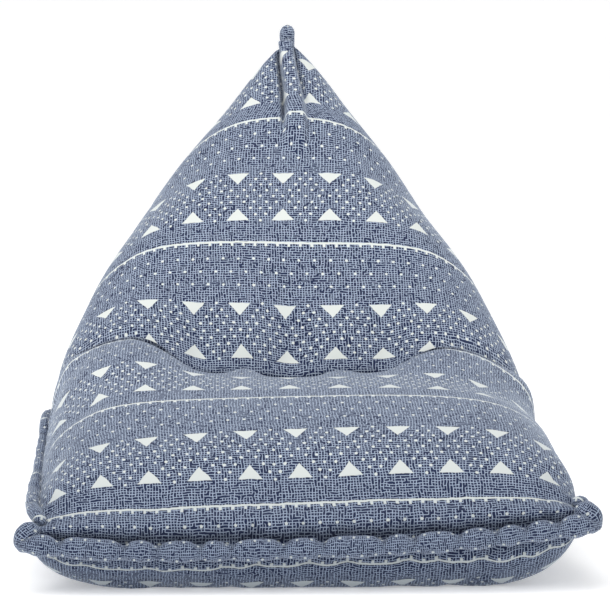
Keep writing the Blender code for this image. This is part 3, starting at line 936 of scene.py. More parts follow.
@dataclass(frozen=True)
class SewingThread:
    """Navy polyester sewing thread, twisted: a dark line with a soft gleam."""

    name: str = "navy_polyester_thread"
    colour: str = "1E2745"
    gleam: str = "33406B"
    roughness: float = 0.55
    twist_pitch: float = 0.0012
    twist_strength: float = 0.4
    twist_depth: float = 0.0003

    def build(self) -> Material:
        """Builds the material, whose twist is read along the object's axes.

        Returns:
            The finished material.
        """
        material = bpy.data.materials.new(self.name)
        material.use_nodes = True
        tree = material.node_tree
        shader = tree.nodes["Principled BSDF"]
        shader.inputs["Roughness"].default_value = self.roughness
        place = add_node(tree, "ShaderNodeTexCoord").outputs["Object"]
        links = {"Vector": place, "Scale": 1 / self.twist_pitch / 6, "Distortion": 1.0}
        twist = add_node(tree, "ShaderNodeTexWave", links, bands_direction="DIAGONAL").outputs["Fac"]
        links = {0: twist, 6: linear(self.colour), 7: linear(self.gleam)}
        tone = add_node(tree, "ShaderNodeMix", links, data_type="RGBA").outputs[2]
        links = {"Height": twist, "Strength": self.twist_strength, "Distance": self.twist_depth}
        bump = add_node(tree, "ShaderNodeBump", links).outputs["Normal"]
        tree.links.new(tone, shader.inputs["Base Color"])
        tree.links.new(bump, shader.inputs["Normal"])
        return material


@dataclass
class GridPiece:
    """A mesh put together from grids of points that each carry cloth coordinates."""

    name: str
    points: list[Array] = field(default_factory=list)
    faces: list[Array] = field(default_factory=list)
    coordinates: list[Array] = field(default_factory=list)
    painted_fold_shade: list[Array] = field(default_factory=list)
    count: int = 0

    def add_grid(
        self,
        points: Array,
        cloth: Array,
        turned: bool = False,
        closed: bool = False,
        painted_fold_shade: Array | None = None,
    ) -> None:
        """Adds a grid.

        Args:
            points: Points by row and column.
            cloth: Their u and v, by row and column, with one more column where the grid is closed.
            turned: True where the faces point the other way.
            closed: True where the last column joins the first.
            painted_fold_shade: How much painted shade each point carries in a fold, from 0 to 1, or None
                where there is none.
        """
        rows, columns = points.shape[:2]
        number = np.arange(rows * columns).reshape(rows, columns) + self.count
        if closed:
            number = np.concatenate([number, number[:, :1]], axis=1)
        corners, sheets = cell_corners(number), cell_corners(cloth)
        if turned:
            corners.reverse()
            sheets.reverse()
        depth = np.zeros((rows, columns)) if painted_fold_shade is None else painted_fold_shade
        self.painted_fold_shade.append(depth.reshape(-1))
        self.points.append(points.reshape(-1, 3))
        self.faces.append(np.stack(corners, axis=-1).reshape(-1, 4))
        self.coordinates.append(np.stack(sheets, axis=2).reshape(-1, 4, 2))
        self.count += rows * columns

    def build(self, material: Material, merge: float = 1e-5) -> Item:
        """Makes the object, with its grids merged where they meet.

        Args:
            material: Its finish.
            merge: How close two points are to be one.

        Returns:
            The linked object.
        """
        mesh = bpy.data.meshes.new(self.name)
        faces = np.concatenate(self.faces)
        mesh.from_pydata(np.concatenate(self.points).tolist(), [], faces.tolist())
        layer = mesh.uv_layers.new(name="cloth")
        layer.data.foreach_set("uv", np.concatenate(self.coordinates).reshape(-1))
        # Painted shade in folds, kept on the points for the material
        depth = mesh.attributes.new("painted_fold_shade", "FLOAT", "POINT")
        depth.data.foreach_set("value", np.concatenate(self.painted_fold_shade))
        tool = bmesh.new()
        tool.from_mesh(mesh)
        bmesh.ops.remove_doubles(tool, verts=tool.verts, dist=merge)
        bmesh.ops.dissolve_degenerate(tool, edges=tool.edges, dist=merge)
        tool.to_mesh(mesh)
        tool.free()
        mesh.shade_smooth()
        mesh.materials.append(material)
        return add_item(self.name, mesh)


@dataclass(frozen=True)
class Filling:
    """The push of the loose beads on the cover, found by a short cloth simulation of both panels."""

    pressure: float = 4.0
    cloth_mass: float = 0.9
    tension: float = 80.0
    bending: float = 0.6
    slack: float = 0.010
    quality: int = 4
    frames: int = 20
    step: int = 2
    cap: float = 0.008
    # The plain shape has the broad swell of the filling already, so most of that part is left out
    broad_rows: int = 12
    broad_kept: float = 0.10

    def coarse(self, top: Array, under: Array) -> tuple[Item, Array, Array]:
        """Makes one closed cover from every other point of both panels, held along its seams.

        Args:
            top: The top panel's points by run and place.
            under: The underside's points.

        Returns:
            The object, and the numbers of its points in the top and in the underside.
        """
        top, under = top[:: self.step, :: self.step], under[:: self.step, :: self.step]
        rows, columns = top.shape[:2]
        high = np.arange(rows * columns).reshape(rows, columns)
        low = np.zeros_like(high)
        low[1:, 1:-1] = rows * columns + np.arange((rows - 1) * (columns - 2)).reshape(rows - 1, columns - 2)
        sew(low, high)
        faces = []
        for number, turned in ((high, 1), (low, -1)):
            faces.append(np.stack(cell_corners(number)[::turned], axis=-1).reshape(-1, 4))
        points = np.concatenate([top.reshape(-1, 3), under[1:, 1:-1].reshape(-1, 3)])
        mesh = bpy.data.meshes.new("cover")
        mesh.from_pydata(points.tolist(), [], np.concatenate(faces).tolist())
        item = add_item("cover", mesh)
        held = np.concatenate([high[0], high[-1], low[-1], high[:, 0], high[:, -1]])
        item.vertex_groups.new(name="seams").add(np.unique(held).tolist(), 1.0, "REPLACE")
        return item, high, low

    def push(self, top: Array, under: Array) -> tuple[Array, Array]:
        """Simulates the cover under the beads' pressure.

        Args:
            top: The top panel's points by run and place.
            under: The underside's points.

        Returns:
            How far each point of both panels moves, in metres.
        """
        item, high, low = self.coarse(top, under)
        before = self.read(item.data)
        modifier = item.modifiers.new("filling", "CLOTH")
        settings = {
            "quality": self.quality,
            "mass": self.cloth_mass,
            "tension_stiffness": self.tension,
            "compression_stiffness": self.tension / 2,
            "shear_stiffness": self.tension / 2,
            "bending_stiffness": self.bending,
            "use_pressure": True,
            "uniform_pressure_force": self.pressure,
            "shrink_min": -self.slack,
            "vertex_group_mass": "seams",
        }
        for name, value in settings.items():
            setattr(modifier.settings, name, value)
        modifier.settings.effector_weights.gravity = 0.0
        modifier.point_cache.frame_start = 1
        modifier.point_cache.frame_end = self.frames
        scene = bpy.context.scene
        for frame in range(1, self.frames + 1):
            scene.frame_set(frame)
        depsgraph = bpy.context.evaluated_depsgraph_get()
        moved = self.read(item.evaluated_get(depsgraph).data) - before
        mesh = item.data
        bpy.data.objects.remove(item)
        bpy.data.meshes.remove(mesh)
        scene.frame_set(1)
        far = np.linalg.norm(moved, axis=1, keepdims=True)
        LOG.info("filling: cover moved %.1f mm at most, %.1f on average", far.max() * 1000, far.mean() * 1000)
        moved = moved * self.cap * np.tanh(far / self.cap) / np.maximum(far, 1e-9)
        return self.spread(self.fine_part(moved[high])), self.spread(self.fine_part(moved[low]))

    def fine_part(self, moved: Array) -> Array:
        """Leaves out most of a move's broad part.

        Args:
            moved: Moves by row and column of the coarse grid.

        Returns:
            The moves that are left.
        """
        weights = np.hanning(2 * self.broad_rows + 3)[1:-1]
        broad = moved
        for axis in (0, 1):
            broad = np.moveaxis(broad, axis, 0)
            edges = ((self.broad_rows, self.broad_rows), (0, 0), (0, 0))
            padded = np.pad(broad, edges, mode="reflect", reflect_type="odd")
            count = len(broad)
            broad = sum(w * padded[i : i + count] for i, w in enumerate(weights)) / weights.sum()
            broad = np.moveaxis(broad, 0, axis)
        return moved - (1 - self.broad_kept) * broad

    def read(self, mesh: bpy.types.Mesh) -> Array:
        """Reads the places of a mesh's points.

        Args:
            mesh: The mesh.

        Returns:
            The places, by point.
        """
        places = np.empty(len(mesh.vertices) * 3)
        mesh.vertices.foreach_get("co", places)
        return places.reshape(-1, 3)

    def spread(self, moved: Array) -> Array:
        """Reads the coarse grid's moves on the fine grid, between its rows and columns.

        Args:
            moved: Moves by row and column of the coarse grid.

        Returns:
            Moves by row and column of the fine grid.
        """
        for axis in (0, 1):
            moved = np.moveaxis(moved, axis, 0)
            fine = np.empty(((len(moved) - 1) * self.step + 1,) + moved.shape[1:])
            fine[:: self.step] = moved
            fine[1:: self.step] = (moved[:-1] + moved[1:]) / 2
            moved = np.moveaxis(fine, 0, axis)
        return moved


@dataclass(frozen=True)
class RunningStitch:
    """The running stitch that holds a roll down on the bag, made by nodes along the groove between them."""

    thread: Material
    spacing: float = 0.0105
    length: float = 0.0068
    thickness: float = 0.0012
    lean: float = 0.16
    facets: int = 8
    seed: int = 11

    def inputs(self) -> dict[str, tuple[str, object]]:
        """Lists what the nodes take besides the path.

        Returns:
            Each input's socket type and value, by name.
        """
        return {
            "Spacing": ("NodeSocketFloat", self.spacing),
            "Length": ("NodeSocketFloat", self.length),
            "Thickness": ("NodeSocketFloat", self.thickness),
            "Lean": ("NodeSocketFloat", self.lean),
            "Seed": ("NodeSocketInt", self.seed),
            "Thread": ("NodeSocketMaterial", self.thread),
        }

    def tree(self) -> NodeTree:
        """Builds the nodes: a path, points along it, and one leaning stitch on each.

        Returns:
            The node tree.
        """
        tree = bpy.data.node_groups.new("running_stitch", "GeometryNodeTree")
        tree.interface.new_socket("Path", in_out="INPUT", socket_type="NodeSocketGeometry")
        for name, (kind, _) in self.inputs().items():
            tree.interface.new_socket(name, in_out="INPUT", socket_type=kind)
        tree.interface.new_socket("Stitches", in_out="OUTPUT", socket_type="NodeSocketGeometry")
        given = add_node(tree, "NodeGroupInput").outputs
        curve = add_node(tree, "GeometryNodeMeshToCurve", {"Mesh": given["Path"]}).outputs[0]
        links = {"Curve": curve, "Length": given["Spacing"]}
        points = add_node(tree, "GeometryNodeResampleCurve", links, mode="LENGTH").outputs[0]
        tangent = add_node(tree, "GeometryNodeInputTangent").outputs[0]
        links = {0: (-1.0, -1.0, -1.0), 1: (1.0, 1.0, 1.0), "Seed": given["Seed"]}
        chance = add_node(tree, "FunctionNodeRandomValue", links, data_type="FLOAT_VECTOR").outputs[0]
        links = {0: chance, "Scale": given["Lean"]}
        tilt = add_node(tree, "ShaderNodeVectorMath", links, operation="SCALE").outputs[0]
        way = add_node(tree, "ShaderNodeVectorMath", {0: tangent, 1: tilt}, operation="ADD").outputs[0]
        turn = add_node(tree, "FunctionNodeAlignRotationToVector", {"Vector": way}, axis="Z").outputs[0]
        links = {"X": given["Thickness"], "Y": given["Thickness"], "Z": given["Length"]}
        size = add_node(tree, "ShaderNodeCombineXYZ", links).outputs[0]
        # A sphere 1 m across, which the size then makes one stitch
        links = {"Segments": self.facets, "Rings": self.facets, "Radius": 0.5}
        stitch = add_node(tree, "GeometryNodeMeshUVSphere", links).outputs["Mesh"]
        links = {"Points": points, "Instance": stitch, "Rotation": turn, "Scale": size}
        placed = add_node(tree, "GeometryNodeInstanceOnPoints", links).outputs[0]
        real = add_node(tree, "GeometryNodeRealizeInstances", {0: placed}).outputs[0]
        links = {"Geometry": real, "Material": given["Thread"]}
        sewn = add_node(tree, "GeometryNodeSetMaterial", links).outputs[0]
        add_node(tree, "NodeGroupOutput", {"Stitches": sewn})
        return tree

    def build(self, name: str, tree: NodeTree, groove: Array) -> Item:
        """Sews one groove.

        Args:
            name: The object's name.
            tree: The nodes.
            groove: Points along the groove.

        Returns:
            The object, riding on the body.
        """
        mesh = bpy.data.meshes.new(name)
        edges = [(i, i + 1) for i in range(len(groove) - 1)]
        mesh.from_pydata(groove.tolist(), edges, [])
        item = add_item(name, mesh)
        modifier = item.modifiers.new("stitches", "NODES")
        modifier.node_group = tree
        inputs = self.inputs()
        for socket in tree.interface.items_tree:
            if socket.name in inputs:
                modifier[socket.identifier] = inputs[socket.name][1]
        depsgraph = bpy.context.evaluated_depsgraph_get()
        sewn = bpy.data.meshes.new_from_object(item.evaluated_get(depsgraph))
        item.modifiers.remove(modifier)
        item.data = sewn
        sewn.name = name
        sewn.shade_smooth()
        bpy.data.meshes.remove(mesh)
        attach(item, BODY)
        LOG.info("%s: %d faces", name, len(sewn.polygons))
        return item


@dataclass
class PrintedBag:
    """The filled bag: top panel, underside and the narrow closing edge behind."""

    form: LoungerForm
    canvas: Material
    filling: Filling = Filling()
    run_spans: tuple[tuple[float, float, int], ...] = (
        (-0.0065, 0.10, 36), (0.10, 0.57, 54), (0.57, 0.66, 44), (0.66, 1.09, 50), (1.09, 1.385, 60),
    )
    across_spans: tuple[tuple[float, float, int], ...] = ((0.0, 0.12, 34), (0.12, 0.86, 38), (0.86, 1.0, 16))
    pucker: float = 0.0085
    pucker_reach: float = 0.030
    ridge_end: float = 0.022
    # The part of a pucker's rise at which the cloth keeps its plain shape
    pucker_level: float = 0.55
    pucker_run: float = 0.010
    pucker_rise: float = 0.020
    # Over which distances from the front seam the puckers and the swell beside it begin
    pucker_start: Pair = (0.0, 0.010)
    swell_start: Pair = (0.0, 0.014)
    side_pucker: float = 0.0018
    side_reach: float = 0.030
    # Lengths of the gathers' two waves along a side seam
    side_waves: Pair = (0.047, 0.029)
    gather_start: Pair = (0.0, 0.012)
    crease_run: float = 0.6245
    crease_climb: float = 0.019
    crease_climb_span: Pair = (0.17, 0.28)
    crease_depth: float = 0.030
    crease_width: float = 0.0115
    # Where the crease runs out to either side: the part of its depth that it loses, and between which places
    crease_ends: tuple[Triple, ...] = ((0.75, 0.29, 0.41), (0.25, 0.41, 0.54))
    # The painted shade in the crease behind the seat's edge: how far it reaches behind the crease, how it
    # widens to the right and where it ends to the sides
    fold_reach: float = 0.017
    fold_widening: float = 0.7
    fold_widening_span: Pair = (0.22, 0.32)
    fold_end: Pair = (0.36, 0.48)
    # Painted shade in the crease: how dark it is at the middle, where it is open, and from where on it is
    # dark in full
    fold_middle: float = 0.55
    fold_middle_span: Pair = (0.10, 0.20)
    # Painted shade in the groove above the front roll: how dark it is, where it runs and how far it reaches
    groove_shade: float = 0.50
    groove_run: float = 0.010
    groove_reach: float = 0.009
    ridge_start: float = 1.100
    ridge_full: float = 1.180
    ridge_height: float = 0.018
    ridge_half: float = 0.0200
    ridge_lean: float = 0.016
    ridge_shift: float = -0.003
    # The ridge's width at its foot, and how much narrower it is at the peak
    ridge_taper: Pair = (1.05, 0.35)
    # The creases left and right of the ridge: depth, place in half widths, reach, and where they begin
    peak_creases: tuple[tuple[float, float, float, float, float], ...] = (
        (0.015, -1.12, 0.0036, 1.165, 1.20), (0.008, 1.15, 0.0060, 1.18, 1.27),
    )
    # Painted shade in these creases: how dark each is, with the same columns
    peak_fold_shades: tuple[tuple[float, float, float, float, float], ...] = (
        (1.0, -1.12, 0.0042, 1.19, 1.22), (0.8, 1.15, 0.0042, 1.22, 1.33),
    )
    # How far from a side of the ridge its wall takes up cloth
    wall_reach: float = 0.011
    # How high the panels swell beside the front roll, how far from it and how widely
    seam_swell: float = 0.013
    swell_run: float = 0.032
    swell_reach: float = 0.020
    # How far the print is drawn to the left of the peak's ridge, on it and to the right of it
    drawn_in: Triple = (-0.016, 0.012, 0.034)
    drawn_in_start: Pair = (1.19, 1.24)
    # How far the print is pulled on the seat's right, at the front's left, over the back's foot, at the peak
    # and over the shoulders, and over which places across and along the cloth
    right_stretch: float = 0.007
    right_stretch_out: Pair = (0.0, 0.16)
    right_stretch_start: Pair = (0.16, 0.24)
    front_left_pull: Pair = (0.009, 0.006)
    front_left_out: Pair = (0.22, 0.40)
    front_left_end: Pair = (0.20, 0.30)
    back_row_drop: float = 0.0055
    back_row_out: Pair = (-0.10, 0.06)
    back_row_span: Span = (0.65, 0.69, 0.85, 0.97)
    peak_line_lift: float = 0.008
    peak_line_span: Span = (1.10, 1.17, 1.20, 1.25)
    crest_line_lift: float = 0.028
    crest_line_out: Pair = (0.19, 0.30)
    crest_line_span: Span = (0.49, 0.59, 0.64, 0.72)
    # How much of their stretch the panels' print is spared where they wrap round to the back seam, and where
    wrapped: float = 0.30
    wrap_start: float = 1.15
    wrap_near: Pair = (0.40, 0.75)
    # How much cloth the front roll takes from the underside, at its left end, its middle and its right end
    rolled_cloth: Triple = (0.021, 0.033, 0.014)
    rolled_out: tuple[Pair, Pair] = ((-0.27, -0.05), (0.12, 0.38))
    # How much the underside's print is stretched near the front, from where and over what length
    under_stretch: float = 0.30
    under_stretch_run: float = 0.02
    under_stretch_length: float = 0.08
    # How far each stitch draws up the underside's print, how near to it and how far from the seam
    drawn_up: float = 0.0038
    drawn_up_reach: float = 0.016
    drawn_up_end: Pair = (0.035, 0.10)
    # Where the cover is held and where it gives way in full to its filling
    loose_sides: Pair = (0.90, 1.0)
    loose_ends: Span = (0.0, 0.05, 1.08, 1.20)
    crease_hold: float = 0.035
    # Half the width and the length of cloth at the narrow closing edge
    closing_edge: Pair = (0.03, 0.02)

    def across(self) -> Array:
        """Spreads places across a panel, closer together at its middle and at the side seams.

        Returns:
            The places, from -1 at the left seam to 1 at the right one.
        """
        half = [np.linspace(start, end, count, endpoint=False) for start, end, count in self.across_spans]
        half = np.concatenate(half + [np.array([1.0])])
        return np.concatenate([-half[:0:-1], half])

    def runs(self) -> Array:
        """Places along a panel, closer together at the front seam, the crease and the peak."""
        steps = [np.linspace(start, end, count, endpoint=False) for start, end, count in self.run_spans]
        return np.concatenate(steps + [np.array([self.form.panel_length])])

    def ridge_middle(self, run: Array) -> Array:
        """Where the pinched ridge runs on the cloth, which leans a little as it comes down from the peak."""
        lean = self.ridge_lean * (1 - ease(run, self.ridge_full, self.form.panel_length))
        return lean + self.ridge_shift

    def ridge_width(self, run: Array) -> Array:
        """Half the ridge's width, which narrows towards the peak."""
        foot, narrowing = self.ridge_taper
        return self.ridge_half * (foot - narrowing * ease(run, self.ridge_start, self.form.panel_length))

    def crease_place(self, cloth: Array) -> Array:
        """Where the crease at the back's foot runs along the cloth, which climbs towards the side seams."""
        return self.crease_run + self.crease_climb * ease(np.abs(cloth), *self.crease_climb_span)

    def beside_ridge(self, run: Array, cloth: Array, creases: tuple) -> list[Array]:
        """Reads the creases beside the peak's ridge.

        Args:
            run: Distances along the cloth.
            cloth: Distances across the cloth from its middle line.
            creases: For each its depth, place in half widths, reach, and where it begins and is full.

        Returns:
            The depth of each crease, by run and place.
        """
        off = cloth - self.ridge_middle(run)
        width = self.ridge_width(run)
        depths = []
        for depth, place, reach, start, full in creases:
            depths.append(depth * (bell(off, width * place, reach) * ease(run, start, full)))
        return depths

    def top_relief(self, across: Array, runs: Array, cloth: Array) -> Array:
        """How far the top panel stands off its plain shape.

        Args:
            across: Places across the panel, from -1 to 1.
            runs: Distances along the cloth.
            cloth: Distances across the cloth from its middle line.

        Returns:
            Heights in metres, by run and place.
        """
        run = runs[:, None]
        height = sum(s.height_at(cloth, run) for s in BACK_DENTS + SEAT_RISES)
        inside = 1 - ease(run, self.form.panel_length - 0.04, self.form.panel_length)
        height = height * inside * (1 - np.abs(across)[None, :] ** 6)
        # The crease is drawn in along the middle and runs out before the side seams
        middle = 1 - sum(part * ease(np.abs(cloth), start, end) for part, start, end in self.crease_ends)
        height -= self.crease_depth * middle * bell(run, self.crease_place(cloth), self.crease_width)
        # The peak's ridge and the creases beside it
        rise = ease(run, self.ridge_start, self.ridge_full)
        top_end = 1 - ease(run, self.form.panel_length - self.ridge_end, self.form.panel_length)
        ridge = bell(cloth, self.ridge_middle(run), self.ridge_width(run), power=6)
        height = height + self.ridge_height * rise * top_end * ridge
        height = height - sum(self.beside_ridge(run, cloth, self.peak_creases)) * top_end
        # The panel swells over the front roll, so that the two meet in a groove, and each stitch draws it in
        stitch = stitch_distance(cloth - SCALLOP_START, SCALLOPS)
        swell = bell(run, self.swell_run, self.swell_reach) * ease(run, *self.swell_start)
        height += self.seam_swell * swell
        near_front = bell(run, self.pucker_run, self.pucker_reach) * ease(run, *self.pucker_start)
        height += self.pucker * (ease(stitch, 0.0, self.pucker_rise) - self.pucker_level) * near_front
        height += self.side_gathers(across, runs, cloth)
        return height

    def side_gathers(self, across: Array, runs: Array, cloth: Array) -> Array:
        """Raises small gathers along the side seams, unevenly spaced and dying out over a few centimetres.

        Args:
            across: Places across the panel, from -1 to 1.
            runs: Distances along the cloth.
            cloth: Distances across the cloth from its middle line.

        Returns:
            Heights in metres, by run and place.
        """
        run = runs[:, None]
        edge = np.abs(cloth[:, -1:]) * (1 - np.abs(across))[None, :]
        hand = np.sign(across)[None, :]
        long_wave, short_wave = self.side_waves
        wave = np.sin(2 * math.pi * (run / long_wave + 0.35 * np.sin(9.0 * run + hand)))
        wave = wave + 0.5 * np.sin(2 * math.pi * (run / short_wave + 0.21 * hand))
        return self.side_pucker * wave * bell(edge, 0.0, self.side_reach) * ease(edge, *self.gather_start)

    def under_relief(self, across: Array, runs: Array, cloth: Array) -> Array:
        """How far the underside stands off its plain shape: gathers at the front and side seams.

        Args:
            across: Places across the panel, from -1 to 1.
            runs: Distances along the cloth.
            cloth: Distances across the cloth from its middle line.

        Returns:
            Heights in metres, by run and place.
        """
        run = runs[:, None]
        stitch = stitch_distance(cloth - SCALLOP_START, SCALLOPS)
        near_front = bell(run, 0.0, 0.045) * ease(run, 0.0, 0.012)
        height = 0.8 * self.pucker * (ease(stitch, 0.0, 0.024) - self.pucker_level) * near_front
        height += 0.35 * self.seam_swell * bell(run, 0.036, self.swell_reach) * ease(run, 0.0, 0.014)
        return height + self.side_gathers(across, runs, cloth)

    def wall(self, points: Array, cloth: Array, middle: Array) -> Array:
        """Runs from 0 to 1 across a crease as the true length of its walls is used up.

        Args:
            points: The finished points by run and place.
            cloth: Plain distances across the cloth.
            middle: Where the crease runs on the cloth.

        Returns:
            The part of the crease's cloth that lies to the left of each point.
        """
        length = np.linalg.norm(np.diff(points, axis=1), axis=2)
        spare = np.maximum(length - np.diff(cloth, axis=1), 0.0)
        halfway = (cloth[:, 1:] + cloth[:, :-1]) / 2
        spare = (spare + 1e-7) * (np.abs(halfway - middle) < self.wall_reach)
        used = np.concatenate([np.zeros((len(cloth), 1)), np.cumsum(spare, axis=1)], axis=1)
        return used / np.maximum(used[:, -1:], 1e-9)

    def spare_length(self, points: Array, across: Array, run: Array) -> Array:
        """Cloth that the panel's outer parts need on their way round to the back seam.

        Args:
            points: The finished points by run and place.
            across: Places across the panel, from -1 to 1.
            run: Distances along the cloth, by run and place.

        Returns:
            How much further along the cloth each point lies than its run says.
        """
        length = np.linalg.norm(np.diff(points, axis=0), axis=2)
        spare = np.maximum(length - np.diff(run, axis=0), 0.0) * (run[1:] > self.wrap_start)
        used = np.concatenate([np.zeros((1, len(across))), np.cumsum(spare, axis=0)])
        return self.wrapped * used * ease(np.abs(across), *self.wrap_near)[None, :]

    def pulled(self, points: Array, run: Array, cloth: Array) -> Array:
        """Cloth coordinates on the top panel, with the cloth that its creases swallow.

        Args:
            points: The finished points by run and place.
            run: Distances along the cloth.
            cloth: Plain distances across the cloth.

        Returns:
            The u and v of each point.
        """
        middle = self.ridge_middle(run[:, :1])
        width = self.ridge_width(run[:, :1]) * 1.12
        before, ridge, after = self.drawn_in
        drawn = before + (ridge - before) * self.wall(points, cloth, middle - width)
        drawn = drawn + (after - ridge) * self.wall(points, cloth, middle + width)
        right = ease(cloth, *self.right_stretch_out) * ease(run, *self.right_stretch_start)
        u = cloth - self.right_stretch * right + drawn * ease(run, *self.drawn_in_start)
        v = run - self.peak_line_lift * between(run, *self.peak_line_span)
        crest = between(run, *self.crest_line_span) * ease(np.abs(cloth), *self.crest_line_out)
        v = v + self.crest_line_lift * crest
        v = v + self.back_row_drop * between(run, *self.back_row_span) * ease(cloth, *self.back_row_out)
        front_left = ease(-cloth, *self.front_left_out) * (1 - ease(run, *self.front_left_end))
        pull_u, pull_v = self.front_left_pull
        return np.stack([u - pull_u * front_left, v - pull_v * front_left], axis=-1)

    def painted_fold_shade(self, run: Array, cloth: Array) -> Array:
        """Painted shade in the top panel's folds: at the front roll, behind the seat's edge, beside the
        ridge.

        Args:
            run: Distances along the cloth.
            cloth: Distances across the cloth from its middle line.

        Returns:
            Depths from 0 to 1, by run and place.
        """
        # Painted shade: darker in the crease behind the seat's edge, in the groove above the front roll and
        # in the creases beside the ridge
        out = np.abs(cloth)
        crease = self.crease_place(cloth)
        wide = self.fold_reach * (1 + self.fold_widening * ease(cloth, *self.fold_widening_span))
        reach = np.where(run > crease, wide, self.crease_width)
        seat = bell(run, crease, reach) * (1 - ease(out, *self.fold_end))
        seat = seat * (self.fold_middle + (1 - self.fold_middle) * ease(out, *self.fold_middle_span))
        groove = self.groove_shade * bell(run, self.groove_run, self.groove_reach)
        left, right = self.beside_ridge(run, cloth, self.peak_fold_shades)
        return np.maximum(np.maximum(seat, groove), np.maximum(left, right))

    def looseness(self, across: Array, runs: Array) -> Array:
        """How freely the cover gives way to the beads: not at the seams, in the crease and at the peak.

        Args:
            across: Places across the panel.
            runs: Distances along the cloth.

        Returns:
            A factor from 0 to 1, by run and place.
        """
        sides = 1 - ease(np.abs(across), *self.loose_sides)
        crease = 1 - bell(runs, self.crease_run, self.crease_hold)
        return (between(runs, *self.loose_ends) * crease)[:, None] * sides[None, :]

    def build(self) -> None:
        """Builds the bag, riding on the body."""
        across, runs = self.across(), self.runs()
        top, top_cloth = self.form.panel(Panel.TOP, across, runs)
        under, under_cloth = self.form.panel(Panel.UNDER, across, runs)
        top_out = unit(np.cross(np.gradient(top, axis=1), np.gradient(top, axis=0)))
        under_out = unit(np.cross(np.gradient(under, axis=0), np.gradient(under, axis=1)))
        top_push, under_push = self.filling.push(self.form.placed(top, runs), self.form.placed(under, runs))
        top = top + top_out * self.top_relief(across, runs, top_cloth)[:, :, None]
        under = under + under_out * self.under_relief(across, runs, under_cloth)[:, :, None]
        sew(under, top)
        loose = self.looseness(across, runs)[:, :, None]
        top = self.form.placed(top, runs) + top_push * loose
        under = self.form.placed(under, runs) + under_push * loose
        under[:, :, 2] = np.maximum(under[:, :, 2], 0.0)
        sew(under, top)
        piece = GridPiece("printed_bag")
        run = np.broadcast_to(runs[:, None], top_cloth.shape)
        top_sheet = self.pulled(top, run, top_cloth)
        top_sheet[:, :, 1] += self.spare_length(top, across, run)
        piece.add_grid(top, top_sheet, painted_fold_shade=self.painted_fold_shade(run, top_cloth))
        stitch = stitch_distance(under_cloth - SCALLOP_START, SCALLOPS)
        near_seam = 1 - ease(run, *self.drawn_up_end)
        drawn_up = self.drawn_up * bell(stitch, 0.0, self.drawn_up_reach) * near_seam
        left, middle, right = self.rolled_cloth
        taken = left + (middle - left) * ease(under_cloth, *self.rolled_out[0])
        taken = taken + (right - middle) * ease(under_cloth, *self.rolled_out[1])
        stretched = np.clip(run - self.under_stretch_run, 0.0, self.under_stretch_length)
        under_run = run + taken + drawn_up + self.under_stretch * stretched
        under_run = under_run + self.spare_length(under, across, run)
        piece.add_grid(under, np.stack([under_cloth, under_run], axis=-1), turned=True)
        half = len(across) // 2
        half_width, length = self.closing_edge
        for edge, turned in ((top[-1], False), (under[-1], True)):
            strip = np.stack([edge[: half + 1], edge[: half - 1 : -1]], axis=0)
            u = np.broadcast_to(np.linspace(-half_width, half_width, half + 1), (2, half + 1))
            v = self.form.panel_length + np.broadcast_to(np.array([[0.0], [length]]), (2, half + 1))
            piece.add_grid(strip, np.stack([u, v], axis=-1), turned=turned)
        item = piece.build(self.canvas)
        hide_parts("bag")
        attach(item, BODY)
        LOG.info("printed_bag: %d faces", len(item.data.polygons))


